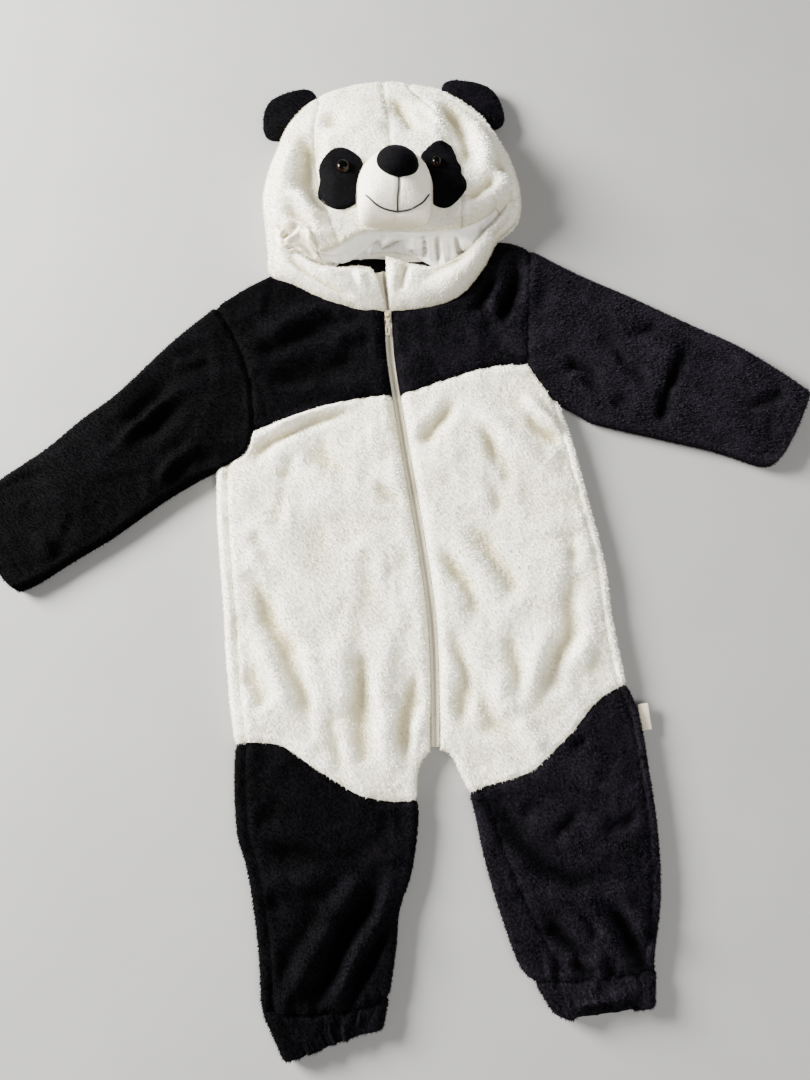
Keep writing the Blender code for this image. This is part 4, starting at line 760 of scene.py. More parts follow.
def turn(edge, inward, radius, angles, gap=0.0):
    """Points on a turn of the cloth at a side; angles are 0 at the side, 90 on top, -90 underneath."""
    radius = np.reshape(radius, (-1, 1))
    c, s = np.cos(np.radians(angles))[None], np.sin(np.radians(angles))[None]
    pair = []
    for r in (radius, np.maximum(radius - PLUSH, 0.3)):
        plan = edge[:, None] + inward[:, None] * (radius - r * c)[..., None]
        pair.append(lifted(plan, radius + r * s + gap))
    return pair


def beside(*pairs):
    """Walls joined column to column."""
    return [np.concatenate(parts, axis=1) for parts in zip(*pairs)]


def backwards(pair):
    """A wall with its columns in reverse."""
    return [part[:, ::-1] for part in pair]


def capped(line, edge, rolls=1.0, under=False):
    """The last columns of a front, or of a back under it: a turn where the roll is 1, plain where it is 0."""
    sign = -1 if under else 1
    angles = QUARTER[::-1]
    round_cap = turn(edge, unit(line - edge), ROLL, sign * angles, gap=sign * HALF_GAP)
    spots = edge[:, None] + (line - edge)[:, None] * (1 - np.cos(np.radians(angles)))[None, :, None]
    plain_cap = under_pair(spots) if under else body_top(spots)
    share = np.reshape(rolls, (-1, 1, 1))
    return [share * a + (1 - share) * b for a, b in zip(round_cap, plain_cap)]


def lipped(line, side, lip, cells=4):
    """The first columns of a back: its lip over the front, then the turn at its side."""
    inward = unit(line - side)
    begin = side + inward * ROLL
    steps = np.linspace(0, 1, cells + 1)[:-1][None, :, None]
    spots = lip[:, None] * (1 - steps) + begin[:, None] * steps
    blend = steps[..., 0] ** 3
    flat = top_pair(spots, body_height(spots) * (1 - blend) + (2 * ROLL) * blend)
    return beside(flat, turn(side, inward, ROLL, OVER))


def runs(points):
    """Distance along the grid from the first and last row and the first and last column."""
    down = np.cumsum(np.linalg.norm(np.diff(points, axis=0), axis=2), axis=0)
    down = np.vstack((np.zeros((1, down.shape[1])), down))
    over = np.cumsum(np.linalg.norm(np.diff(points, axis=1), axis=2), axis=1)
    over = np.hstack((np.zeros((over.shape[0], 1)), over))
    return down, down[-1:] - down, over, over[:, -1:] - over


def seamed(pair, seams, rims=""):
    """Wall with its pile parted along its seams and its free edges rounded.

    Edges are named f and l for the first and last row, s and e for the first and last column.
    """
    outer, inner = (np.array(side) for side in pair)
    away = dict(zip("flse", runs(outer)))
    through_wall = unit(inner - outer)
    for key in seams:
        pucker = 1 + PUCKER * np.sin(away["s" if key in "fl" else "f"] / PUCKER_RUN)
        outer += through_wall * (VALLEY * pucker * np.exp(-(away[key] / VALLEY_HALF) ** 2))[..., None]
    for key in rims:
        sunk = np.clip(1 - away[key] / RIM, 0, 1)
        shift = (inner - outer) * (RIM_THIN * (1 - np.sqrt(1 - sunk ** 2)))[..., None]
        outer, inner = outer + shift, inner - shift
    for key in seams:
        edge, step = (0, 1) if key in "fs" else (-1, -2)
        for side in (outer, inner):
            grid = side if key in "fl" else side.transpose(1, 0, 2)
            back = grid[step] - grid[edge]
            back[:, 2] = 0.0
            grid[edge] += unit(back) * HALF_GAP
    return outer, inner


def metres(points):
    """Points in mm of the plan frame, in metres of the part's."""
    flat = np.asarray(points, float).reshape(-1, 3)
    return (flat - (CENTRE[0], CENTRE[1], 0.0)) * MM


def hollows(level):
    """How far each point of a grid of heights lies under (or, below zero, over) its surroundings."""
    calm = np.pad(level, 1, mode="edge")
    for _ in range(HOLLOW_TIMES):
        calm[1:-1, 1:-1] = (calm[:-2, 1:-1] + calm[2:, 1:-1] + calm[1:-1, :-2] + calm[1:-1, 2:]) / 4
        calm = np.pad(calm[1:-1, 1:-1], 1, mode="edge")
    return np.clip((calm[1:-1, 1:-1] - level) / HOLLOW, -1.0, 1.0)


def quads(index):
    """Faces between the points of a numbered grid."""
    return np.stack((index[:-1, :-1], index[:-1, 1:], index[1:, 1:], index[1:, :-1]), -1).reshape(-1, 4)


def linked(name, data):
    """Object of a mesh, a light or a camera, in the scene."""
    obj = bpy.data.objects.new(name, data)
    bpy.context.scene.collection.objects.link(obj)
    return obj


def evaluated_mesh(obj):
    """Plain mesh of an object with its modifiers."""
    return bpy.data.meshes.new_from_object(obj.evaluated_get(bpy.context.evaluated_depsgraph_get()))


def mark(mesh, name, outer, inner):
    """A value for each point of a wall's outer grid, and one for all of its inner grid."""
    values = np.concatenate((outer.ravel(), np.full(outer.size, inner)))
    mesh.attributes.new(name, "FLOAT", "POINT").data.foreach_set("value", values.astype(np.float32))


def wall(name, pair, material, ring=False, depth=None, pile=None):
    """Closed wall from its outer and inner grids, in mm; a ring's last column meets its first.

    Depth says how far each outer point lies in a hollow, where its height alone does not tell. Pile is
    marked on all that stands a little over the surface, if nothing else is given.
    """
    outer, inner = pair
    rows, columns = outer.shape[:2]
    count = rows * columns
    index = np.arange(count).reshape(rows, columns)
    if ring:
        index = np.hstack((index, index[:, :1]))
    top = quads(index)
    faces = [top, top[:, ::-1] + count]
    lines = [index[0], index[-1][::-1]] + ([] if ring else [index[:, -1], index[::-1, 0]])
    for line in lines:
        faces.append(np.stack((line[1:], line[:-1], line[:-1] + count, line[1:] + count), -1))
    faces = np.concatenate(faces)
    verts = metres(np.concatenate((outer.reshape(-1, 3), inner.reshape(-1, 3))))
    a, b, c, d = (verts[faces[:, k]] for k in range(4))
    across = np.cross(b - a, c - a) + np.cross(c - a, d - a)
    if (across * (verts[faces].mean(axis=1) - verts.mean(axis=0))).sum() < 0:    # turned inwards
        faces = faces[:, ::-1]
    mesh = bpy.data.meshes.new(name)
    mesh.from_pydata(verts, [], faces.tolist())
    mesh.shade_smooth()
    mesh.materials.append(material)
    if pile is None:
        pile = (smooth((outer[..., 2] - PILE_FROM) / PILE_OVER), 0.0)
    mark(mesh, "pile", *pile)
    # how deep each point lies in a hollow: the looks paint shade by it
    mark(mesh, "hollow", hollows(outer[..., 2]) if depth is None else np.clip(depth, -1.0, 1.0), 0.0)
    PIECES[name] = linked(name + SUFFIX, mesh)


# ---------------------------------------------------------------- body pieces
def belly(side, plush):
    """Front and back of the body's ivory middle, one side of the zip."""
    facing, bottom, arch = FACING[side], LEG_SEAM[side], ARCH[side]
    if side == "right":
        bottom = stretched(bottom, border(POINTS[side]["leg seam"], 1, (0.0, ROLL))[-1], 1)
    top = np.vstack((ARM[side], YOKE_SEAM[side][1:]))
    outside = inset(SIDE[side], LIP[side], bottom[0], top[0], facing)
    yoke_end = np.array(POINTS[side]["yoke seam"][-1], float)
    edge = np.vstack((arch, zip_edge(side, arch[-1], yoke_end, (SIDE_CELLS - ARCH_CELLS) * FINE)[1:]))
    rows, columns = meshed("belly_front")
    stations = np.linspace(0, 1, len(edge))
    rolls = np.clip((ARCH_CELLS + 1) - stations * SIDE_CELLS, 0, 1)
    grid = patch(outside, inset(edge, ROLL, bottom[-1], top[-1], -facing), bottom, top, rows, columns)
    cap = capped(grid[:, -1], at(edge, rows), np.interp(rows, stations, rolls))
    wall("belly_front_" + side, seamed(beside(body_top(grid), cap), "fls", "e"), plush)

    seam = centre_back((SIDE_CELLS - ARCH_CELLS - 1) * FINE)
    edge = np.vstack((arch, arch[-1] + (seam[0] - arch[-1]) * STEPS[1:-1], seam))
    high = np.vstack((underarm(side), YOKE_SEAM_BACK[side][1:]))
    back(side, "belly_back_", SIDE[side], edge, LEG_SEAM_BACK[side], high, outside,
         meshed("belly_back", SOFT_ENDS), "flse", plush)


def back(side, name, outer, edge, low, high, outside, shares, seams, plush, inside=None):
    """Back between its outer edge, where it turns over to the front, and its inner edge.

    Its inner edge is a turn as well, or comes over to the front too, as far as a line inside.
    """
    rows, columns = shares
    grid = patch(inset(outer, ROLL, low[0], high[0], FACING[side]),
                 inset(edge, ROLL, low[-1], high[-1], -FACING[side]), low, high, rows, columns)
    first = lipped(grid[:, 0], at(outer, rows), at(outside, rows))
    if inside is None:
        last = capped(grid[:, -1], at(edge, rows), under=True)
    else:
        last = backwards(lipped(grid[:, -1], at(edge, rows), at(inside, rows), cells=10))
    wall(name + side, seamed(beside(first, under_pair(grid), last), seams), plush)


def zip_edge(side, low, high, cells):
    """Plush edge beside the zip, from the arch up to a point given."""
    run = unit(np.gradient(ZIP_LINE, axis=0))
    line = ZIP_LINE + np.stack((run[:, 1], -run[:, 0]), axis=1) * FACING[side] * ZIP_HALF
    line = line[(line[:, 1] > low[1] + 4.0) & (line[:, 1] < high[1] - 4.0)]
    return along(np.vstack((low, line, high)), np.linspace(0, 1, cells + 1))


def centre_back(cells):
    """Centre back seam from just above the arch to the yoke."""
    top = np.array(ZIP_AT_YOKE)
    inside = ZIP_LINE[(ZIP_LINE[:, 1] > ARCH_TOP) & (ZIP_LINE[:, 1] < top[1] - 4.0)]
    line = np.vstack(((ZIP[0][0], ARCH_TOP), inside, top))
    return along(line, np.linspace(0, 1, cells + 1))


def underarm(side):
    """Underarm seam from the turn at the side, in under the lip."""
    corner = border(POINTS[side]["underarm"], 1, (ROLL, 0.0))[0]
    return np.vstack((corner + (ARM[side][0] - corner) * STEPS[:-1], ARM[side]))


def leg(side, plush):
    """Front and back of a leg.

    The left one's inside edge is a plain turn; the right one's back comes over to the front there too.
    """
    facing, seam, outer, edge = FACING[side], LEG_SEAM[side], LEG_OUT[side], LEG_IN[side]
    left = side == "left"
    points = POINTS[side]["ankle top"][::-facing]
    ankle = border(points, FRONT_CELLS[side], (LIP[side], INSIDE[side][0]))
    depth = ROLL if left else border([(lip, 0.0) for lip in INSEAM_LIP], LEG_CELLS)[:, 0]
    outside = inset(outer, LIP[side], ankle[0], seam[0], facing)
    inside = inset(edge, depth, ankle[-1], seam[-1], -facing)
    rows, columns = meshed("leg_front_" + side)
    grid = patch(outside, inside, ankle, seam, rows, columns)
    front = beside(body_top(grid), capped(grid[:, -1], at(edge, rows))) if left else body_top(grid)
    seams = "fls" if left else "flse"
    wall("leg_front_" + side, seamed(front, seams), plush)
    back_rows, columns = meshed("leg_back", SOFT_ENDS)
    back(side, "leg_back_", outer, edge, border(points, LOW_CELLS, (ROLL, ROLL)), LEG_SEAM_BACK[side], outside,
         (back_rows if left else rows, columns), seams, plush, None if left else inside)


def yoke(name, seam, rim, first, last, turned, facing, shares, seams, rims, plush, under=False):
    """Part of the yoke whose rows run from its seam to its rim; turned says where the rim turns over."""
    rows, columns = shares
    grid = patch(seam, inset(rim, ROLL, first[-1], last[-1], facing), first, last, rows, columns)
    cap = capped(grid[:, -1], at(rim, rows), np.interp(rows, np.linspace(0, 1, len(rim)), turned), under)
    flat = under_pair(grid) if under else body_top(grid)
    wall(name, seamed(beside(flat, cap), seams, rims), plush)


def yoke_front(side, plush):
    """Black yoke front; its rows run from the belly seam up to shoulder and neck, armhole to zip."""
    end = np.array(POINTS[side]["yoke seam"][-1], float)
    start, stop = (NECK_LEFT, 0) if side == "left" else (NECK_RIGHT, len(HOOD) - 1)
    neck = sections(np.linspace(start, stop, 2 * abs(stop - start) * FINE + 1))["out"]
    rim = np.vstack((SHOULDER[side], neck[1:]))
    last = along(zip_edge(side, end, neck[-1], 60), np.linspace(0, 1, YOKE_CELLS * FINE + 1), (0.0, ROLL))
    yoke("yoke_front_" + side, stretched(YOKE_SEAM[side], end, 2), rim, ARMHOLE[side], last,
         np.clip(4 - np.linspace(0, 11, len(rim)), 0, 1), FACING[side], meshed("yoke_front"), "fse", "l", plush)


def yoke_back(plush):
    """Black yoke back from armhole to armhole."""
    left, right = (stretched(YOKE_SEAM_BACK[side], ZIP_AT_YOKE, 2) for side in SIDES)
    neck = border(BACK_NECK, 6)[FINE:-FINE]
    rim = np.vstack((stretched(SHOULDER["left"], neck[0], 1), neck[1:],
                     stretched(SHOULDER["right"], neck[-1], 1)[::-1][1:]))
    yoke("yoke_back", np.vstack((left, right[::-1][1:])), rim, ARMHOLE["left"], ARMHOLE["right"],
         np.clip(np.abs(np.linspace(-6, 6, len(rim))) - 2, 0, 1), -1, meshed("yoke_back", SOFT_ENDS), "flse", "",
         plush, under=True)


def flat_tube(name, grid, low, high, height, plush, shown=None):
    """Open tube lying flat: top and underside over one plan grid, with a turn along both sides.

    The top can have a plan of its own, as where a mouth stands open.
    """
    into_low, into_high = unit(grid[:, 0] - low), unit(grid[:, -1] - high)
    falling = -QUARTER[1:]
    pair = beside(turn(low, into_low, ROLL, QUARTER), top_pair(grid if shown is None else shown, height),
                  turn(high, into_high, ROLL, QUARTER[::-1]), turn(high, into_high, ROLL, falling),
                  backwards(under_pair(grid)), turn(low, into_low, ROLL, falling[::-1]))
    wall(name, seamed(pair, "f", "l"), plush, ring=True)


def sleeve(side, plush):
    """Sleeve with a stitched hem; its creases fade towards the wrist."""
    facing, low_edge, high_edge = FACING[side], SLEEVE_UNDER[side], SLEEVE_TOP[side]
    armhole = np.vstack((underarm(side), ARMHOLE[side][1:]))
    wrist = border(POINTS[side]["wrist"], ARM_CELLS + YOKE_CELLS + 1, (ROLL, ROLL))
    low = inset(low_edge, ROLL, armhole[0], wrist[0], facing)
    high = inset(high_edge, ROLL, armhole[-1], wrist[-1], -facing)
    rows, columns = meshed("sleeve")[0], meshed("sleeve", EVEN_ENDS)[1]
    grid = patch(low, high, armhole, wrist, rows, columns)
    to_hem = (1 - rows) * SLEEVE_CELLS - 1
    flat = smooth((to_hem + 1) / 3)[:, None]
    hem = HEM_RISE * smooth(1.5 - 2.5 * to_hem) - HEM_STITCH * np.exp(-(to_hem / 0.07) ** 2)
    level = 2 * ROLL + (body_height(grid) - 2 * ROLL) * (WRIST_FLAT + (1 - WRIST_FLAT) * flat) + hem[:, None]
    flat_tube("sleeve_" + side, grid, at(low_edge, rows), at(high_edge, rows), level, plush)


def ankle_cuff(side, plush):
    """Elastic casing drawn up in gathers, narrow between its two rows of stitching."""
    top, end = POINTS[side]["ankle top"], POINTS[side]["ankle end"]
    first, last = (border(points, CUFF_COLUMNS, (ROLL, ROLL)) for points in (top, end))
    line = np.linspace(0, 1, 2 * FINE + 1)[:, None]
    low_edge, high_edge = (np.array(top[k]) * (1 - line) + np.array(end[k]) * line for k in (0, -1))
    low, high = (first[k] * (1 - line) + last[k] * line for k in (0, -1))
    rows, columns = meshed("ankle_cuff", HOOD_ENDS)[0], meshed("ankle_cuff", 0.0)[1]
    grid = patch(low, high, first, last, rows, columns)
    drift = 0.10 * ripple(grid, 26.0, 21) + 0.03 * ripple(grid, 9.0, 22)
    around = np.stack((GATHERS * (columns[None] + drift), 0.55 * rows[:, None] + 0 * drift), axis=-1)
    wave = ripple(around, 0.5, 23) + 0.45 * ripple(around, 0.22, 24)
    wave = GATHER * 2.4 * np.tanh(wave) * smooth(6 * columns) * smooth(6 - 6 * columns)
    swell = CUFF_RISE * np.sin(np.pi * (0.2 + 0.65 * rows))[:, None]
    level = 2 * ROLL + swell - GATHER + wave * (0.6 + 0.4 * np.sin(np.pi * rows))[:, None]
    outwards = unit(grid[-1:] - grid[:1])
    grid = grid + outwards * (0.15 * wave * smooth(rows)[:, None])[..., None]
    shown = grid
    if side == "right":
        lifted_up = smooth((columns - 0.1) / 0.25) * smooth((0.88 - columns) / 0.25) * rows[:, None] ** 2
        shown = grid - outwards * (MOUTH_BACK * lifted_up)[..., None]
        level = level + MOUTH_UP * lifted_up
    flat_tube("ankle_cuff_" + side, grid, at(low_edge, rows), at(high_edge, rows), level, plush, shown)


# ---------------------------------------------------------------- hood
def sections(t):
    """Sections of the hood at fractional rows of its table."""
    table = np.array(HOOD, float)
    last = len(table) - 1
    k = np.minimum(t.astype(int), last - 1)
    row = spline(*(table[np.clip(k + m, 0, last)] for m in (-1, 0, 1, 2)), (t - k)[:, None])
    roll = np.where((t < NECK_LEFT) | (t > NECK_RIGHT), 0.0, row[:, 4])
    return {"out": row[:, :2], "into": row[:, 2:4], "roll": roll, "mid": row[:, 5], "edge": row[:, 6],
            "bend": row[:, 7]}


def section_start(cut):
    """Direction into each section, and where its turn ends."""
    inward = unit(cut["into"] - cut["out"])
    return inward, cut["out"] + inward * cut["roll"][:, None]


def section_spots(cut, share):
    """Plan points along sections, past their turns; share is a row of shares for each section."""
    begin = section_start(cut)[1]
    spots = begin[:, None] + (cut["into"] - begin)[:, None] * share[..., None]
    spots[..., 0] += cut["bend"][:, None] * np.sin(np.pi * share)
    return spots


def section_heights(cut, share):
    """Height of the hood's outside at shares of its sections."""
    outer = np.where(cut["roll"] == 0, 2 * ROLL, 2 * cut["roll"])[:, None]
    mid, edge = cut["mid"][:, None], cut["edge"][:, None]
    rise = outer + (mid - outer) * np.sin(0.5 * np.pi * np.minimum(share / CREST, 1))
    fall = mid + (edge - mid) * (1 - np.cos(0.5 * np.pi * np.clip((share - CREST) / (1 - CREST), 0, 1)))
    return np.where(share < CREST, rise, fall)


def hood_piece(name, first, last, rows, cells, seams, rims, tucked, plush):
    """One outer piece of the hood between two rows of its table."""
    t = first + (last - first) * spread(rows, HOOD_ENDS)
    cut = sections(t)
    plain = cut["roll"][:, None] == 0
    share = np.broadcast_to(spread(cells, HOOD_ENDS), (len(t), cells + 1))
    share = np.where(plain, NECK_START + (1 - NECK_START) * share, share)
    spots = section_spots(cut, share)
    relief = folded(HOOD_FOLDS, spots) + 0.8 * crumpled(spots, 11)
    level = section_heights(cut, share) + relief * smooth(4 * share) * smooth(6 * (1 - share))
    if tucked is not None:
        level -= TUCK * share ** 2 * np.clip(1 - 2 * np.abs(t - tucked), 0, 1)[:, None]
    inward = unit(spots[:, 0] - cut["out"])
    round_cap = turn(cut["out"], inward, np.maximum(cut["roll"], 0.01), QUARTER, HALF_GAP)
    flat_share = NECK_START * (1 - np.cos(np.radians(QUARTER)))[None] * np.ones((len(t), 1))
    flat_cap = top_pair(section_spots(cut, flat_share), section_heights(cut, flat_share))
    cap = [np.where(plain[..., None], b, a) for a, b in zip(round_cap, flat_cap)]
    wall(name, seamed(beside(cap, top_pair(spots, level)), seams, rims), plush)


def hood_back(plush):
    """Back of the hood, flat on the surface, with its edge turned up to meet the front."""
    rows, columns = meshed("hood_back", EVEN_ENDS)
    t = NECK_LEFT + (NECK_RIGHT - NECK_LEFT) * rows
    inner = along(border(BACK_NECK, 6), np.linspace(0, 1, 400), (CORNER, CORNER))
    inner = at(inner, (t - NECK_LEFT) / (NECK_RIGHT - NECK_LEFT))
    cut = sections(t)
    inward, begin = section_start(cut)
    cap = turn(cut["out"], inward, cut["roll"], -QUARTER, -HALF_GAP)
    steps = columns[None, :, None]
    flat = begin[:, None] * (1 - steps) + inner[:, None] * steps
    wall("hood_back", seamed(beside(cap, under_pair(flat)), "fle"), plush)


def hood_lining(satin):
    """Satin lining hanging from under the brim to the back of the opening, drawn into soft folds."""
    rows, columns = meshed("hood_lining", FLAT_ENDS)
    t = LINING_FIRST + (LINING_LAST - LINING_FIRST) * rows
    cut = sections(t)
    share = np.linspace(1.0, LINING_UNDER, 7)[None] * np.ones((len(t), 1))
    sewn = section_spots(cut, share)
    under = section_heights(cut, share) - PLUSH - 1.0
    low = at(border(LINING_LOW, 16), (t - LINING_FIRST) / (LINING_LAST - LINING_FIRST))
    drop = columns[None, :-1]
    hung = low[:, None] * (1 - drop[..., None]) + sewn[:, :1] * drop[..., None]
    way = (t - t[0]) / (t[-1] - t[0])
    ends = smooth(9 * np.minimum(way, 1 - way))[:, None]
    foot = LINING_LEAST + 5.0 * (1 - ends)
    level = foot + (under[:, :1] - foot) * smooth(drop) ** 1.2
    points = np.concatenate((lifted(hung, level), lifted(sewn, under)), axis=1)
    across, along_brim = np.gradient(points, axis=1), np.gradient(points, axis=0)
    facing = unit(np.cross(along_brim, across))
    facing *= np.sign(facing[..., 2:].sum())
    up = np.concatenate((drop * LINING_DEEP + 0 * low[:, :1], 0 * share + LINING_DEEP), axis=1)
    cloth = np.stack((points[..., 0], up), axis=-1)
    relief = 1.4 * folded(LINING_FOLDS, cloth) + 1.3 * crinkle(cloth, 14.0, 31) + 0.5 * crinkle(cloth, 6.0, 32)
    free = smooth(8 * drop) * (1 - drop ** 6) * ends
    relief = relief * np.concatenate((free, 0 * share), axis=1)
    points = points + facing * relief[..., None]
    points[..., 2] = np.maximum(points[..., 2], LINING_LEAST)
    wall("hood_lining", (points, points - facing * SATIN), satin, depth=-relief / CREASE)


# ---------------------------------------------------------------- face and ears
class Ground:
    """Top of some finished pieces, found by lines dropped on them."""

    def __init__(self, *names):
        verts, faces = [], []
        for mesh in (PIECES[name].data for name in names):
            base = len(verts)
            verts += [v.co.copy() for v in mesh.vertices]
            faces += [[base + i for i in p.vertices] for p in mesh.polygons]
        self.tree = BVHTree.FromPolygons(verts, faces)

    def heights(self, spots):
        """Height at each plan point; a point that misses takes the lowest found."""
        down = Vector((0, 0, -1))
        levels = []
        for start in metres(lifted(spots, DROP)):
            hit = self.tree.ray_cast(Vector(start), down)[0]
            levels.append(hit.z / MM if hit else np.nan)
        levels = np.array(levels).reshape(spots.shape[:-1])
        return np.where(np.isnan(levels), np.nanmin(levels), levels)


def disc(cells):
    """Grid of unit disc points made from a square one, and the share of the radius at each."""
    line = spread(cells, DISC_ENDS) * 2 - 1
    v, u = np.meshgrid(line, line, indexing="ij")
    units = np.stack((u * np.sqrt(1 - v * v / 2), v * np.sqrt(1 - u * u / 2)), axis=-1)
    return units, np.minimum(np.linalg.norm(units, axis=-1), 1.0)


def patch_outline(centre, table):
    """Reach of an eye patch along unit directions, kept clear of the muzzle."""
    angles = np.array([a for a, r in table] + [360.0])
    radii = np.array([r for a, r in table] + [table[0][1]], float)

    def shape(units):
        way = unit(units)
        angle = np.degrees(np.arctan2(way[..., 1], way[..., 0])) % 360
        k = np.clip(np.searchsorted(angles, angle, side="right") - 1, 0, len(radii) - 2)
        f = smooth((angle - angles[k]) / (angles[k + 1] - angles[k]))
        radius = radii[k] + (radii[k + 1] - radii[k]) * f
        start = np.array(centre, float) - np.array(MUZZLE_CENTRE)
        steps = np.linspace(0, 1, 120)
        spots = start + way[..., None, :] * (radius[..., None] * steps)[..., None]
        blocked = np.linalg.norm(spots, axis=-1) < muzzle_reach(unit(spots)) + MUZZLE_CLEAR
        first = np.where(blocked.any(axis=-1), blocked.argmax(axis=-1) - 1, len(steps) - 1)
        return units * (radius * steps[first])[..., None]
    return shape


def muzzle_reach(way):
    """Distance from the muzzle's centre to its outline along unit directions."""
    power = np.where(way[..., 1] > 0, MUZZLE_ROUND, MUZZLE_SQUARE)
    total = (np.abs(way[..., 0] / MUZZLE_HALF[0]) ** power + np.abs(way[..., 1] / MUZZLE_HALF[1]) ** power)
    return np.maximum(total, 1e-12) ** (-1 / power)


def muzzle_outline(units):
    """Reach of the muzzle along unit directions."""
    return units * muzzle_reach(unit(units))[..., None]


def nose_outline(units):
    """Reach of the nose along unit directions: an ellipse laid aslant."""
    c, s = math.cos(math.radians(NOSE_TILT)), math.sin(math.radians(NOSE_TILT))
    x, y = units[..., 0] * NOSE_HALF[0], units[..., 1] * NOSE_HALF[1]
    return np.stack((x * c - y * s, x * s + y * c), axis=-1)


def evened(spots, levels):
    """Levels as one gently curved sheet, so that a pad's top doesn't repeat the creases under it."""
    x, y = (spots - spots.reshape(-1, 2).mean(axis=0)).reshape(-1, 2).T / 30.0
    terms = np.stack((np.ones_like(x), x, y, x * x, x * y, y * y), axis=1)
    weights, *_ = np.linalg.lstsq(terms, levels.ravel(), rcond=None)
    return (terms @ weights).reshape(levels.shape)


def pad(name, centre, cells, shape, ground, profile, material, carve=None, even=1.0):
    """Padded piece on a surface: full in the middle, turned in to its seam at the edge.

    Its profile is its rim's height, its rise over that, and the power that says how full it is.
    """
    units, share = disc(cells)
    rim, rise, power = profile
    spots = np.array(centre, float) + shape(units)
    floor = ground.heights(spots) + LIFT
    level = floor * (1 - even) + np.maximum(evened(spots, floor), floor - 3.0) * even
    level = floor + (level - floor) * smooth((1 - share) * 4.0)
    tuck = np.sqrt(np.clip((1 - share) / (1 - PAD_ROUND), 0, 1))
    top = level + (rim * tuck + rise * (1 - share ** 2.4) ** power)
    if carve is not None:
        top -= carve(spots, share)
    wall(name, (lifted(spots, np.maximum(top, floor + 0.6)), lifted(spots, floor)), material)


def muzzle_carve(spots, share):
    """Centre seam of the muzzle and the two lines where its stitched mouth draws it in."""
    depth = np.zeros(spots.shape[:-1])
    for line, deep, half in MUZZLE_DRAWN:
        depth += deep * np.exp(-(nearest(curve(line)[::3], spots)[0] / half) ** 2)
    return depth * smooth(8 * (1 - share))


def thread(name, line, ground, material):
    """Round thread lying on a surface along a plan line, its two ends closed by fans."""
    path = along(curve(line), np.linspace(0, 1, THREAD_POINTS))
    levels = np.convolve(np.pad(ground.heights(path), 2, mode="edge"), np.ones(5) / 5, mode="valid")
    centre = lifted(path, levels + MOUTH_THREAD * (1 - 2 * THREAD_SUNK))
    run = unit(np.gradient(centre, axis=0))
    side = unit(np.cross(run, (0.0, 0.0, 1.0)))
    up = np.cross(side, run)
    turns = np.linspace(0, 2 * np.pi, 8, endpoint=False)
    order = np.arange(THREAD_POINTS)
    taper = MOUTH_THREAD * smooth(np.minimum(order, order[::-1]) / 2.0 + 0.25)
    ring = side[:, None] * np.cos(turns)[None, :, None] + up[:, None] * np.sin(turns)[None, :, None]
    tube = centre[:, None] + ring * taper[:, None, None]
    count = THREAD_POINTS * len(turns)
    index = np.arange(count).reshape(THREAD_POINTS, -1)
    index = np.hstack((index, index[:, :1]))
    points = np.concatenate((tube.reshape(-1, 3), tube[:1].mean(axis=1), tube[-1:].mean(axis=1)))
    first = [(b, a, count) for a, b in zip(index[0], index[0, 1:])]
    last = [(a, b, count + 1) for a, b in zip(index[-1], index[-1, 1:])]
    bm = bmesh.new()
    verts = [bm.verts.new(co) for co in metres(points)]
    for face in list(quads(index)) + first + last:
        bm.faces.new([verts[k] for k in face])
    return from_bmesh(name, bm, material)


def from_bmesh(name, bm, material, sharp=None):
    """Object from a bmesh, its faces turned outwards."""
    bmesh.ops.recalc_face_normals(bm, faces=bm.faces[:])
    mesh = bpy.data.meshes.new(name)
    bm.to_mesh(mesh)
    bm.free()
    mesh.shade_smooth()
    if sharp is not None:
        mesh.set_sharp_from_angle(angle=math.radians(sharp))
    mesh.materials.append(material)
    return linked(name, mesh)


def eye(side, ground, material):
    """Safety eye: a polished dome turned on its axis, with a shallow rim round its foot."""
    centre = np.array(EYES[side], float)
    units, share = disc(EYE_CELLS)
    spots = centre + units * EYE_HALF[side]
    floor = np.full(share.shape, ground.heights(centre[None])[0] + 0.2)
    crown = EYE_RISE * np.sqrt(np.maximum(1 - (share / EYE_DOME) ** 2, 0.0))
    rim = EYE_RIM * smooth((1 - share) * 14)
    wall("eye_" + side, (lifted(spots, floor + 0.15 + rim + crown), lifted(spots, floor - 1.0)), material,
         pile=(share, 1.0))    # an eye has no pile; its colours go by this share of its radius


def turned_out(ground, satin):
    """The lining where the hood's front edge lies turned out at its left corner."""
    outline = np.array(FLAP, float)
    centre = outline[:FLAP_ROUND].mean(axis=0)
    legs = outline - centre
    bearing = np.degrees(np.arctan2(legs[:, 1], legs[:, 0]))
    order = np.argsort(bearing)
    units, share = disc(FLAP_CELLS)
    angle = np.degrees(np.arctan2(units[..., 1], units[..., 0]))
    reach = np.interp(angle, bearing[order], np.linalg.norm(legs, axis=-1)[order], period=360)
    spots = centre + units * reach[..., None]
    floor = ground.heights(spots) + 0.3
    floor = np.maximum(floor, evened(spots, floor) - FLAP_BRIDGE)
    swell = FLAP_RISE + folded(FLAP_FOLDS, spots) + 0.9 * crinkle(spots, 9.0, 77)
    top = floor + SATIN + smooth((1 - share) * 7) * np.maximum(swell, 0.0)
    wall("lining_turned_out", (lifted(spots, top), lifted(spots, floor)), satin,
         depth=(FLAP_RISE - swell) / CREASE)


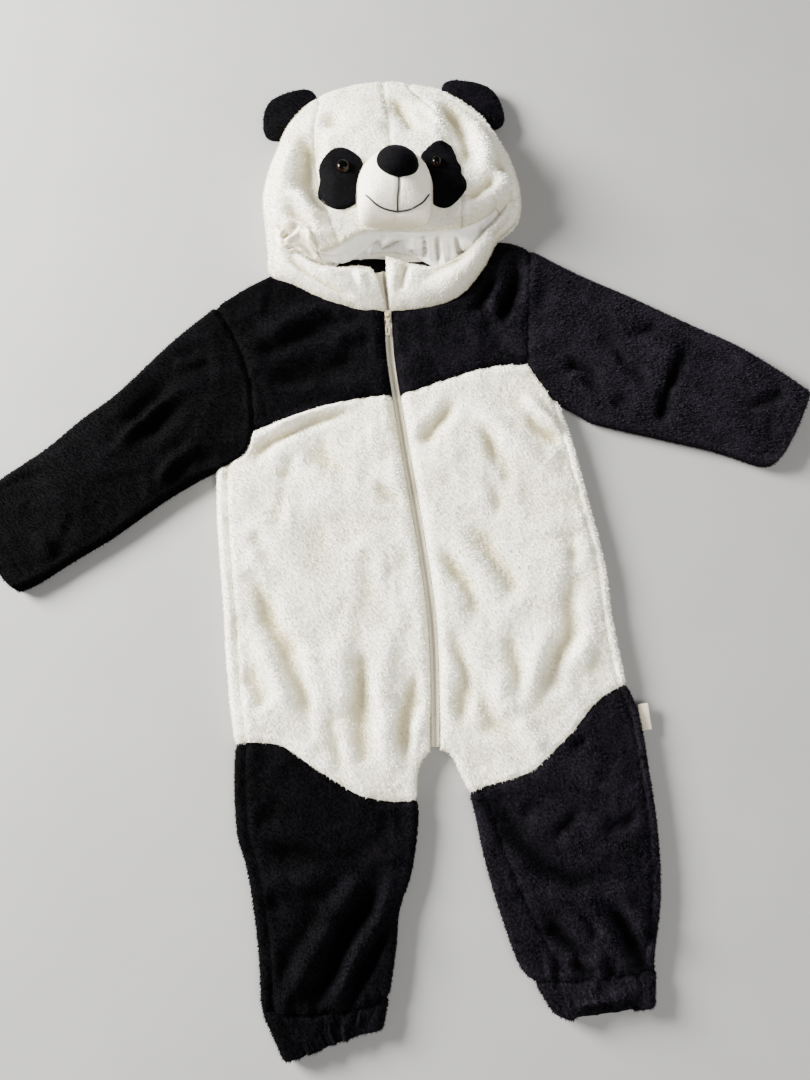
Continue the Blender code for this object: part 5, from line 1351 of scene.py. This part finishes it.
def ear(side, first, last, plush):
    """Round ear laid out beside the hood, its root along the hood's edge."""
    root = sections(np.linspace(first, last, last - first + 1) / 2.0)
    base = root["out"]
    run = unit(base[-1] - base[0])
    out = np.array((-run[1], run[0]))
    base = base + out * (SEAM_GAP + 0.1)
    middle, half = (base[0] + base[-1]) / 2, np.linalg.norm(base[-1] - base[0]) / 2

    def rim(angle):
        c, s = math.cos(math.radians(angle)), math.sin(math.radians(angle))
        wide = half + EAR_BOW * math.sin(math.radians(min(2 * s * 90, 180)))
        return middle + run * wide * c + out * EAR_LENGTH * s
    side_angles = np.linspace(0, EAR_SIDE, 33)[1:]
    left = np.vstack((base[:1], [rim(180 - a) for a in side_angles]))
    right = np.vstack((base[-1:], [rim(a) for a in side_angles]))
    top = np.array([rim(a) for a in np.linspace(180 - EAR_SIDE, EAR_SIDE, 33)])
    top[0], top[-1] = left[-1], right[-1]
    rows, columns = meshed("ear", HOOD_ENDS)
    grid = patch(left, right, curve(base), top, rows, columns)
    level = root["roll"].mean() - EAR_DROOP * rows[:, None]
    across = np.sin(np.pi * columns)[None] ** 0.5
    lengthwise = np.maximum(np.cos(0.5 * np.pi * rows), 0)[:, None] ** 0.5
    thick = EAR_THIN + (EAR_HALF - EAR_THIN) * across * lengthwise
    dent = 1.2 * ripple(grid, 18.0, 51 + first) * across * lengthwise
    wall("ear_" + side, (lifted(grid, level + thick + dent), lifted(grid, level - thick)), plush)


# ---------------------------------------------------------------- zip
def zip_centre():
    """Centre of the zip, its level and the direction across it."""
    line = along(curve(ZIP + ZIP_UP), np.linspace(0, 1, 181), (ZIP_START, 0.0))
    run = unit(np.gradient(line, axis=0))
    level = np.maximum(calm_level(line)[0] - TAPE_DROP, TAPE_LEAST)
    return line, level, np.stack((run[:, 1], -run[:, 0]), axis=1)


def zip_tape(side, weave):
    """Half of the zip's tape, bulging a little under the coil."""
    line, level, across = zip_centre()
    narrow = smooth((line[:, 1] - ZIP[-1][1]) / (ZIP_UP[-1][1] - ZIP[-1][1]))
    half = TAPE_HALF + (ZIP_TIP_HALF[side] - TAPE_HALF) * narrow
    offset = HALF_GAP + (half[:, None] - HALF_GAP) * TAPE_SHARES
    spots = line[:, None] + across[:, None] * FACING[side] * offset[..., None]
    top = level[:, None] + COIL_SEAT * np.exp(-((offset - 1.2) / 0.9) ** 2)
    wall("zip_tape_" + side, (lifted(spots, top), lifted(spots, level[:, None] - TAPE)), weave)


def block(size, at_spot, bevel, segments=3):
    """Bevelled bar as a bmesh, by size and centre in mm."""
    bm = bmesh.new()
    bmesh.ops.create_cube(bm, size=1.0)
    for vert in bm.verts:
        vert.co = Vector([c * s for c, s in zip(vert.co, size)])
    bmesh.ops.bevel(bm, geom=bm.edges[:], offset=bevel, segments=segments, profile=0.6, affect="EDGES")
    bmesh.ops.translate(bm, verts=bm.verts[:], vec=at_spot)
    return bm


def joined(name, parts, centre, material, turned=0.0):
    """One object from bmeshes in mm, turned about X and then moved to a centre in metres."""
    c, s = math.cos(math.radians(turned)), math.sin(math.radians(turned))
    whole = bmesh.new()
    for bm in parts:
        for vert in bm.verts:
            x, y, z = vert.co
            y, z = y * c - z * s, y * s + z * c
            vert.co = (x * MM + centre[0], y * MM + centre[1], z * MM + centre[2])
        mesh = bpy.data.meshes.new("part")
        bm.to_mesh(mesh)
        bm.free()
        whole.from_mesh(mesh)
        bpy.data.meshes.remove(mesh)
    return from_bmesh(name, whole, material, sharp=35)


def slider_body(enamel):
    """Enamelled slider: a waisted plate, and the bridge that holds its pull."""
    low, high = (np.array(corner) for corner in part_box("zip_slider"))
    centre = (low + high) / 2
    length, width = (high - low)[1] / MM, (high - low)[0] / MM
    plate = block((width, length, SLIDER_THICK), (0, 0, 0), 0.7)
    for vert in plate.verts:
        waist = 1 - 0.16 * smooth(1 - abs(vert.co.y + 1.5) / 4.5)
        shoulder = 1 - 0.12 * max(vert.co.y / length, 0.0)
        vert.co.x *= float(waist * shoulder)
        vert.co.z += 0.25 * float(smooth(1 - abs(vert.co.x) / 3.2)) * (vert.co.z > 0)
    rise = 2 * EYE_CLEAR + PULL_THICK
    top = 0.5 * SLIDER_THICK
    bars = [plate]
    for y in (-0.5, 0.5):
        post = y * (BRIDGE_LENGTH - BRIDGE_BAR)
        bars.append(block((BRIDGE_WIDTH, BRIDGE_BAR, rise + 0.6), (0, post, top + 0.5 * rise - 0.1), 0.2, 2))
    over = top + rise + 0.5 * BRIDGE_BAR - 0.1
    bars.append(block((BRIDGE_WIDTH, BRIDGE_LENGTH, BRIDGE_BAR), (0, 0, over), 0.3))
    return joined("slider_body", bars, (centre[0], centre[1], low[2] + top * MM), enamel)


def slab(name, outline, thick):
    """Flat plate from its outline, in mm about its own centre plane."""
    bm = bmesh.new()
    face = bm.faces.new([bm.verts.new((x, y, -0.5 * thick)) for x, y in outline])
    pulled = bmesh.ops.extrude_face_region(bm, geom=[face])["geom"]
    raised = [v for v in pulled if isinstance(v, bmesh.types.BMVert)]
    bmesh.ops.translate(bm, verts=raised, vec=(0, 0, thick))
    bmesh.ops.recalc_face_normals(bm, faces=bm.faces[:])
    mesh = bpy.data.meshes.new(name)
    bm.to_mesh(mesh)
    bm.free()
    return linked(name, mesh)


def rounded_hole(low, high, half):
    """Outline of a hole with round ends between two runs along the tab."""
    middle, reach = (low + high) / 2, (high - low) / 2

    def squared(value):
        return np.sign(value) * abs(value) ** 0.55
    return [(half * squared(math.cos(a)), -middle + reach * squared(math.sin(a)))
            for a in np.linspace(0, 2 * np.pi, 28, endpoint=False)]


def pull_tab(enamel, hinge):
    """Pull tab: an eye round the bridge, a narrow neck and a broad rounded tail with a long hole."""
    start = 0.5 * PULL_THICK
    side = along(curve(PULL_SIDE), np.linspace(0, 1, 40))
    outline = [(x, start - y) for x, y in side] + [(-x, start - y) for x, y in side[::-1]]
    tab = slab("pull_tab", outline, PULL_THICK)
    eye_hole = (start, start + PULL_WINDOW, 0.5 * BRIDGE_WIDTH + PULL_CLEAR)
    cutters = [slab(name, rounded_hole(*hole), 4 * PULL_THICK)
               for name, hole in (("eye_hole", eye_hole), ("tail_hole", TAIL_HOLE))]
    for cutter in cutters:
        cut = tab.modifiers.new(cutter.name, "BOOLEAN")
        cut.operation = "DIFFERENCE"
        cut.object = cutter
    soft = tab.modifiers.new("edge", "BEVEL")
    soft.width, soft.segments, soft.limit_method = 0.28, 3, "ANGLE"
    bm = bmesh.new()
    bm.from_mesh(evaluated_mesh(tab))
    for obj in [tab] + cutters:
        bpy.data.objects.remove(obj)
    return joined("pull_tab", [bm], hinge, enamel, PULL_DROOP)


def label_tab(weave):
    """Blank woven tape folded double, its free end standing a little open."""
    (x, y), width, length, thick = LABEL
    u, v = np.meshgrid(np.linspace(-0.5, 0.5, 12) * width, np.linspace(-0.5, 0.5, 18) * length)
    c, s = math.cos(math.radians(LABEL_TURN)), math.sin(math.radians(LABEL_TURN))
    spots = np.stack((x + 0.5 * width + u * c - v * s, y + u * s + v * c), axis=-1)
    bend = 0.8 * np.sin((u / width + 0.5) * 2.0) + 0.5 * np.sin(v / length * 5.0)
    level = ROLL + 0.5 * thick + bend
    wall("label_tab", (lifted(spots, level), lifted(spots, level - thick)), weave)


# ---------------------------------------------------------------- materials
def srgb(code):
    """Linear colour from an sRGB hex value; anything else stays as it is."""
    if not isinstance(code, str):
        return code
    parts = [int(code[k:k + 2], 16) / 255 for k in (1, 3, 5)]
    return (*[c / 12.92 if c <= 0.04045 else ((c + 0.055) / 1.055) ** 2.4 for c in parts], 1.0)


def add(tree, kind, inputs=None, **settings):
    """Adds a node; an input is a value, or a socket to link from."""
    made = tree.nodes.new(kind)
    for key, value in settings.items():
        setattr(made, key, value)
    for key, value in (inputs or {}).items():
        if isinstance(value, bpy.types.NodeSocket):
            tree.links.new(value, made.inputs[key])
        else:
            made.inputs[key].default_value = value
    return made


def maths(tree, operation, a, b):
    """What a Math node gives."""
    return add(tree, "ShaderNodeMath", {0: a, 1: b}, operation=operation).outputs[0]


class Look:
    """Principled material whose colour and relief come from object coordinates."""

    def __init__(self, name, **sockets):
        self.material = bpy.data.materials.new(name)
        self.material.use_nodes = True
        self.tree = self.material.node_tree
        self.shader = self.tree.nodes["Principled BSDF"]
        for key, value in sockets.items():
            self.shader.inputs[key.replace("_", " ")].default_value = value
        self.spots = add(self.tree, "ShaderNodeTexCoord").outputs["Object"]

    def noise(self, size_mm, detail=2.0, distortion=0.0):
        """Noise whose patches are about so many millimetres across."""
        return add(self.tree, "ShaderNodeTexNoise",
                   {"Vector": self.spots, "Scale": 1000.0 / size_mm, "Detail": detail,
                    "Distortion": distortion}).outputs["Fac"]

    def wave(self, pitch_mm, way, distortion=0.0):
        """Bands so many millimetres apart."""
        return add(self.tree, "ShaderNodeTexWave",
                   {"Vector": self.spots, "Scale": 1000.0 / pitch_mm / 6.28, "Distortion": distortion},
                   bands_direction=way).outputs["Fac"]

    def stored(self, name):
        """A value marked on the mesh."""
        return add(self.tree, "ShaderNodeAttribute", attribute_name=name).outputs["Fac"]

    def between(self, value, low, high, out_low=0.0, out_high=1.0):
        """Eased step of a value from one range to another."""
        return add(self.tree, "ShaderNodeMapRange", {0: value, 1: low, 2: high, 3: out_low, 4: out_high},
                   interpolation_type="SMOOTHSTEP").outputs[0]

    def mixed(self, share, low, high):
        """Colour between two, by a share."""
        return add(self.tree, "ShaderNodeMix", {0: share, 6: srgb(low), 7: srgb(high)},
                   data_type="RGBA").outputs[2]

    def done(self, colour, *relief):
        """Takes the colour, and relief from (height, distance in mm, strength) layers, the last on top."""
        self.tree.links.new(colour, self.shader.inputs["Base Color"])
        normal = None
        for height, reach, strength in relief:
            inputs = {"Height": height, "Distance": reach * MM, "Strength": strength}
            if normal is not None:
                inputs["Normal"] = normal
            normal = add(self.tree, "ShaderNodeBump", inputs).outputs["Normal"]
        if relief:
            self.tree.links.new(normal, self.shader.inputs["Normal"])
        return self.material


def plush(name, deep, light, tip, hollow, nap_mm, grain_mm, roughness, sheen, tint, relief, gloss, left_shade):
    """Short knitted pile, brushed so that it lies in patches: its nap turns the tone from patch to patch.

    In the cloth's hollows the pile shades itself, and that shade is painted: there its tone goes over to the
    hollow's painted shade tone, which also shows between the tufts as painted shade down in the pile. The
    garment's left is painted deeper, as shade where the pile lies away from the light, and its right lighter,
    as sheen on pile that lies towards it, by as much as the last argument says.
    """
    look = Look(name, Roughness=roughness, Sheen_Weight=sheen, Sheen_Roughness=0.45, Sheen_Tint=srgb(tint),
                Specular_IOR_Level=gloss)
    nap, grain = look.noise(nap_mm, 3.0, 0.6), look.noise(grain_mm, 2.0, 0.3)
    across = add(look.tree, "ShaderNodeSeparateXYZ", {"Vector": look.spots}).outputs["X"]
    # painted shade on the garment's left and painted sheen on its right, set by X
    side_light = look.between(across, *SIDE_LIGHT_RUN, 1.0 - left_shade, 1.0)
    tone = look.mixed(maths(look.tree, "MULTIPLY", look.between(nap, 0.36, 0.66), side_light), deep, light)
    fleck = look.stored("shade")
    speck = maths(look.tree, "ADD", look.between(grain, 0.35, 0.7, 0.0, 0.5), fleck)
    pile = look.mixed(maths(look.tree, "MULTIPLY", speck, side_light), tone, tip)
    # painted shade between the tufts, where the grain is low
    pile = look.mixed(look.between(grain, 0.3, 0.5, GAP_SHADE, 0.0), pile, hollow)
    # painted shade in the cloth's hollows, by how deep each point lies in one
    shaded = look.between(look.stored("hollow"), *SHADED_RUN)
    return look.done(look.mixed(shaded, pile, hollow), (nap, 2.0 * relief, 0.5), (grain, 0.7 * relief, 0.8))


def satin_cloth(name, drawn_dark, light, crease):
    """Polyester satin, woven smooth: a soft gloss and faint drawn threads, with painted shade in its creases."""
    look = Look(name, Roughness=0.42, Sheen_Weight=0.15, Specular_IOR_Level=0.5)
    drawn = look.noise(9.0, 3.0, 1.0)
    weave = look.wave(SATIN_THREAD, "DIAGONAL", 1.5)
    cloth = look.mixed(look.between(drawn, 0.35, 0.7), drawn_dark, light)
    depth = look.stored("hollow")
    # painted shade in the creases, by how deep each point lies in one
    return look.done(look.mixed(look.between(depth, 0.0, 1.0, 0.0, 0.8), cloth, crease),
                     (drawn, 1.2, 0.35), (weave, 0.12, 0.25))


def woven_tape(name, dark, light, rib_mm):
    """Polyester tape in plain weave: a fine cross rib, every other row painted lighter as the light it takes."""
    look = Look(name, Roughness=0.75, Sheen_Weight=0.1)
    weave = maths(look.tree, "MULTIPLY", look.wave(rib_mm, "Y", 0.4), look.wave(rib_mm, "X"))
    return look.done(look.mixed(look.between(weave, 0.1, 0.6), dark, light), (weave, 0.25, 0.5))


def nylon_coil():
    """Nylon monofilament, drawn and coiled: slightly clear, with a soft line of light on each turn."""
    look = Look("nylon coil", Roughness=0.32, IOR=1.53)
    # darker than the tape: painted shade along the line where the zip's two halves meet
    return look.done(look.mixed(look.noise(14.0), "#8f8771", "#aba38d"), (look.noise(0.8), 0.05, 0.2))


def enamelled_metal():
    """Zinc alloy dipped in beige enamel: even and glossy, its tone varying a little from patch to patch."""
    look = Look("beige enamel", Metallic=0.25, Roughness=0.34, Coat_Weight=0.3, Coat_Roughness=0.15)
    return look.done(look.mixed(look.between(look.noise(3.0), 0.35, 0.7), "#a3977e", "#c4b89c"),
                     (look.noise(1.0), 0.03, 0.3))


def eye_plastic():
    """Moulded acrylic, polished: a black pupil in a deep brown iris under a clear dome."""
    look = Look("eye plastic", Roughness=0.1, IOR=1.49, Specular_IOR_Level=0.1)
    share = look.stored("pile")    # of an eye: its share of the radius
    iris = look.mixed(look.noise(0.9), "#0e0603", "#22120a")
    ring = look.mixed(look.between(share, *PUPIL_EDGE), "#020202", iris)
    return look.done(look.mixed(look.between(share, *IRIS_EDGE), ring, "#080403"))


def stitching(name, colour):
    """Spun polyester thread: matt, twisted, its plies drawn as a fine slant."""
    look = Look(name, Roughness=0.7, Sheen_Weight=0.2)
    twist = look.wave(1.2, "DIAGONAL")
    dark = tuple(0.6 * c for c in srgb(colour)[:3]) + (1.0,)
    return look.done(look.mixed(twist, dark, colour), (twist, 0.15, 0.5))


def floor_paint():
    """Matt painted board: pale grey, very slightly mottled by its roller."""
    look = Look("pale floor", Roughness=0.9, Specular_IOR_Level=0.2)
    return look.done(look.mixed(look.noise(90.0, 3.0), FLOOR_DARK, FLOOR_LIGHT), (look.noise(2.5), 0.1, 0.15))


# ---------------------------------------------------------------- what repeats
def node_group(name, sizes):
    """Geometry tree with a geometry input and output and named sizes; returns it with its inputs."""
    tree = bpy.data.node_groups.new(name, "GeometryNodeTree")
    tree.interface.new_socket("Geometry", in_out="INPUT", socket_type="NodeSocketGeometry")
    for label, kind, value in sizes:
        socket = tree.interface.new_socket(label, in_out="INPUT", socket_type="NodeSocket" + kind)
        if value is not None:
            socket.default_value = value
    tree.interface.new_socket("Geometry", in_out="OUTPUT", socket_type="NodeSocketGeometry")
    return tree, add(tree, "NodeGroupInput").outputs


def close_tree(tree, geometry, material_socket):
    """Realize Instances, Set Material and the group's output."""
    real = add(tree, "GeometryNodeRealizeInstances", {"Geometry": geometry}).outputs[0]
    set_to = add(tree, "GeometryNodeSetMaterial", {"Geometry": real, "Material": material_socket})
    add(tree, "NodeGroupOutput", {0: set_to.outputs[0]})
    return tree


def vectors(tree, operation, a, b):
    """What a Vector Math node gives."""
    return add(tree, "ShaderNodeVectorMath", {0: a, 1: b}, operation=operation).outputs[0]


def chance(tree, low, high, seed):
    """A random value for each tuft."""
    return add(tree, "FunctionNodeRandomValue", {2: low, 3: high, "Seed": seed}, data_type="FLOAT").outputs[1]


def pile_tree():
    """Tufts scattered over a piece's outer side, leaning with a nap that swirls from patch to patch."""
    tree, out = node_group("pile", [("Density", "Float", 300000.0), ("Length", "Float", 0.0035),
                                    ("Width", "Float", 0.0007), ("Nap", "Vector", (0.0, -0.8, 0.0)),
                                    ("Swirl", "Float", 1.4), ("Seed", "Int", 1), ("Material", "Material", None)])
    cover = add(tree, "GeometryNodeInputNamedAttribute", {"Name": "pile"}, data_type="FLOAT").outputs[0]
    density = maths(tree, "MULTIPLY", cover, out["Density"])
    points = add(tree, "GeometryNodeDistributePointsOnFaces",
                 {"Mesh": out["Geometry"], "Density": density, "Seed": out["Seed"]}).outputs
    spot = add(tree, "GeometryNodeInputPosition").outputs[0]
    swirl = add(tree, "ShaderNodeTexNoise", {"Vector": spot, "Scale": 32.0, "Detail": 2.0}).outputs["Color"]
    centred = vectors(tree, "SUBTRACT", swirl, (0.5, 0.5, 0.5))
    scaled = add(tree, "ShaderNodeVectorMath", {0: centred, "Scale": out["Swirl"]}, operation="SCALE").outputs[0]
    stray = add(tree, "FunctionNodeRandomValue", {0: (-0.45, -0.45, -0.2), 1: (0.45, 0.45, 0.3),
                                                  "Seed": out["Seed"]}, data_type="FLOAT_VECTOR").outputs[0]
    aim = scaled
    for part in (out["Nap"], stray, points["Normal"]):
        aim = vectors(tree, "ADD", aim, part)
    turned = add(tree, "FunctionNodeAlignRotationToVector", {"Vector": aim}, axis="Z").outputs[0]
    size = chance(tree, 0.6, 1.15, out["Seed"])
    blade = add(tree, "GeometryNodeMeshCone", {"Vertices": 3, "Radius Top": 0.0, "Radius Bottom": out["Width"],
                                               "Depth": out["Length"]}, fill_type="NONE").outputs["Mesh"]
    tufts = add(tree, "GeometryNodeInstanceOnPoints", {"Points": points["Points"], "Instance": blade,
                                                       "Rotation": turned, "Scale": size}).outputs[0]
    shade = chance(tree, 0.0, 0.7, out["Seed"])
    marked = add(tree, "GeometryNodeStoreNamedAttribute", {"Geometry": tufts, "Name": "shade", "Value": shade},
                 data_type="FLOAT", domain="INSTANCE").outputs[0]
    return close_tree(tree, marked, out["Material"])


def row_tree():
    """Copies of one bar set along a line at an even pitch, turned to follow it."""
    tree, out = node_group("row along a line", [("Pitch", "Float", 0.0012), ("Length", "Float", 0.0018),
                                                ("Thickness", "Float", 0.0004), ("Turn", "Float", 0.0),
                                                ("Material", "Material", None)])
    line = add(tree, "GeometryNodeMeshToCurve", {"Mesh": out["Geometry"]}).outputs[0]
    points = add(tree, "GeometryNodeCurveToPoints", {"Curve": line, "Length": out["Pitch"]},
                 mode="LENGTH").outputs
    half = maths(tree, "MULTIPLY", out["Thickness"], 0.5)
    bar = add(tree, "GeometryNodeMeshCylinder", {"Vertices": 6, "Side Segments": 2, "Radius": half,
                                                 "Depth": out["Length"]}).outputs["Mesh"]
    spin = add(tree, "ShaderNodeCombineXYZ", {"Y": out["Turn"]}).outputs[0]
    turned = add(tree, "FunctionNodeRotateRotation", {"Rotation": points["Rotation"], "Rotate By": spin},
                 rotation_space="LOCAL").outputs[0]
    bars = add(tree, "GeometryNodeInstanceOnPoints", {"Points": points["Points"], "Instance": bar,
                                                      "Rotation": turned}).outputs[0]
    return close_tree(tree, bars, out["Material"])


def grown(name, source, tree, values):
    """Plain mesh of what a tree makes on a source object."""
    change = source.modifiers.new(name, "NODES")
    change.node_group = tree
    for item in tree.interface.items_tree:
        if item.in_out == "INPUT" and item.name in values:
            change[item.identifier] = values[item.name]
    mesh = evaluated_mesh(source)
    source.modifiers.remove(change)
    mesh.name = name
    return linked(name, mesh)


def row(name, points, sizes, turned, material, tree):
    """Bars along a line of points in mm; sizes are their pitch, length and thickness."""
    verts = metres(points)
    mesh = bpy.data.meshes.new("line")
    mesh.from_pydata(verts, [(k, k + 1) for k in range(len(verts) - 1)], [])
    line = linked("line", mesh)
    pitch, length, thickness = (size * MM for size in sizes)
    made = grown(name, line, tree, {"Pitch": pitch, "Length": length, "Thickness": thickness,
                                    "Turn": turned, "Material": material})
    bpy.data.objects.remove(line)
    made.data.shade_smooth()
    return made


# ---------------------------------------------------------------- the garment
def dressed(obj, body="garment", nodes=()):
    """A finished piece rides its body and stands for its CAD nodes, if it has any."""
    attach(obj, body)
    if nodes:
        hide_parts(*nodes)
    return obj


def pile_on(name, obj, tufts, seed):
    """The tufts that stand on a piece."""
    length, width, density = PILED[name]
    cover = 1.0
    return grown("pile_" + name, obj, tufts,
                 {"Density": density * 1e6 * cover, "Length": length * MM, "Width": width * MM,
                  "Nap": NAPS.get(name, NAP), "Swirl": NAP_SWIRL, "Seed": seed,
                  "Material": obj.data.materials[0]})


def cloth_pieces(looks):
    """Every piece of cloth on the body and the hood."""
    ivory, black = looks["ivory plush"], looks["black plush"]
    for side in SIDES:
        belly(side, ivory)
        yoke_front(side, black)
        sleeve(side, black)
        ankle_cuff(side, black)
        zip_tape(side, looks["beige zip tape"])
    for side in SIDES:
        leg(side, black)
    yoke_back(black)
    hood_back(ivory)
    hood_lining(looks["white satin"])
    for name, values in HOOD_PANELS.items():
        hood_piece(name, *values, ivory)


def face_pieces(looks):
    """Eyes, muzzle, nose and what else lies on the hood; returns the mouth's threads."""
    black = looks["short black plush"]
    skin = Ground("hood_side_left", "hood_face_left", "hood_face_right", "hood_side_right")
    for side in SIDES:
        pad("eye_patch_" + side, PATCHES[side][0], EYE_PATCH_CELLS, patch_outline(*PATCHES[side]), skin,
            PATCH_PROFILE, black, even=PATCH_EVEN)
        eye(side, Ground("eye_patch_" + side), looks["eye plastic"])
    pad("muzzle", MUZZLE_CENTRE, MUZZLE_CELLS, muzzle_outline, skin, MUZZLE_PROFILE, looks["short ivory plush"],
        muzzle_carve)
    bulge = Ground("muzzle")
    pad("nose", NOSE_CENTRE, NOSE_CELLS, nose_outline, bulge, NOSE_PROFILE, black)
    threads = [thread(name, line, bulge, looks["black thread"])
               for name, line in (("mouth_line", MOUTH_LINE), ("mouth_smile", MOUTH_SMILE))]
    # the turned out lining takes the white satin painted warmer and darker: painted warm bounce light and shade
    turned_out(Ground("hood_side_left", "chin_left", "hood_lining"), looks["satin painted warm and shaded"])
    for side in SIDES:
        ear(side, *EAR_ROWS[side], looks["black plush"])
    return threads


def zip_rows(looks):
    """The zip's coil, and the stitches beside it, whose dark thread paints the shade along the zip's edges."""
    bars = row_tree()
    line, level, across = zip_centre()
    for side, sign in FACING.items():
        coil = lifted(line + across * sign * COIL_OFFSET, level + COIL_SEAT + COIL_LIFT)
        dressed(row("zip_coil_" + side, coil, COIL_SIZES, sign * math.radians(COIL_TURN), looks["nylon coil"],
                    bars))
        edge = line[line[:, 1] < ZIP[-1][1]]
        count = len(edge)
        sewn = lifted(edge + across[:count] * sign * TAPE_STITCH_OFFSET, level[:count] + STITCH_LIFT)
        dressed(row("zip_stitches_" + side, sewn, STITCH_SIZES, 0.0, looks["beige thread"], bars))


def build():
    """The whole garment, made piece by piece."""
    made = [plush(name, *values) for name, values in PLUSHES.items()]
    made += [satin_cloth(name, *values) for name, values in SATINS.items()]
    made += [woven_tape("beige zip tape", "#ddd5bf", "#f0e9d8", 0.9), nylon_coil(), enamelled_metal(),
             # real topstitching beside the zip, its thread darkened as painted shade along the zip's edges
             eye_plastic(), stitching("beige thread", "#7f765e"), stitching("black thread", "#0c0c0f"),
             woven_tape("cream label tape", "#c4b9a1", "#ddd4bf", 0.8)]
    looks = {material.name: material for material in made}
    cloth_pieces(looks)
    threads = face_pieces(looks)
    slider = slider_body(looks["beige enamel"])
    hinge = next(joint for joint in frame["joints"] if joint["name"] == "zip_pull_hinge")["pos_m"]
    pull = pull_tab(looks["beige enamel"], hinge)
    label_tab(looks["cream label tape"])

    tufts = pile_tree()
    for k, (name, obj) in enumerate(PIECES.items()):
        dressed(obj, nodes=NODES.get(name, [name]))
        pile = [dressed(pile_on(name, obj, tufts, k))] if name in PILED else []
    dressed(slider, nodes=["zip_slider"])
    dressed(pull, "zip_pull", ["zip_pull"])
    for obj in threads:
        dressed(obj)
    zip_rows(looks)


# ---------------------------------------------------------------- stage, light and camera
def stage():
    """Floor, sky and lights."""
    mesh = bpy.data.meshes.new("floor")
    corners = [(x * FLOOR_HALF, y * FLOOR_HALF, FLOOR_DROP) for x, y in ((-1, -1), (1, -1), (1, 1), (-1, 1))]
    mesh.from_pydata(corners, [], [(0, 1, 2, 3)])
    mesh.materials.append(floor_paint())
    linked("floor", mesh)

    scene = bpy.context.scene
    scene.world = scene.world or bpy.data.worlds.new("studio")
    scene.world.use_nodes = True
    sky = scene.world.node_tree.nodes["Background"].inputs
    sky["Color"].default_value = SKY_COLOUR
    sky["Strength"].default_value = AMBIENT
    for name, spot, size, power in LIGHTS:
        light = bpy.data.lights.new(name, "AREA")
        light.shape = "RECTANGLE"
        light.size, light.size_y = size
        light.energy = power
        light.color = LIGHT_COLOUR
        obj = linked(name, light)
        obj.location = spot
        obj.rotation_euler = (-Vector(spot)).to_track_quat("-Z", "Y").to_euler()    # aimed at the origin


def camera():
    """Camera at the viewing angle: above the chest, tipped a little towards the hood."""
    data = bpy.data.cameras.new("camera")
    data.lens = LENS
    data.sensor_fit = "VERTICAL"
    data.sensor_height = SENSOR
    data.clip_start = 0.05
    obj = linked("camera", data)
    obj.location = CAMERA_SPOT
    obj.rotation_euler = (math.radians(CAMERA_TIP), 0.0, 0.0)
    bpy.context.scene.camera = obj


camera()
build()
stage()
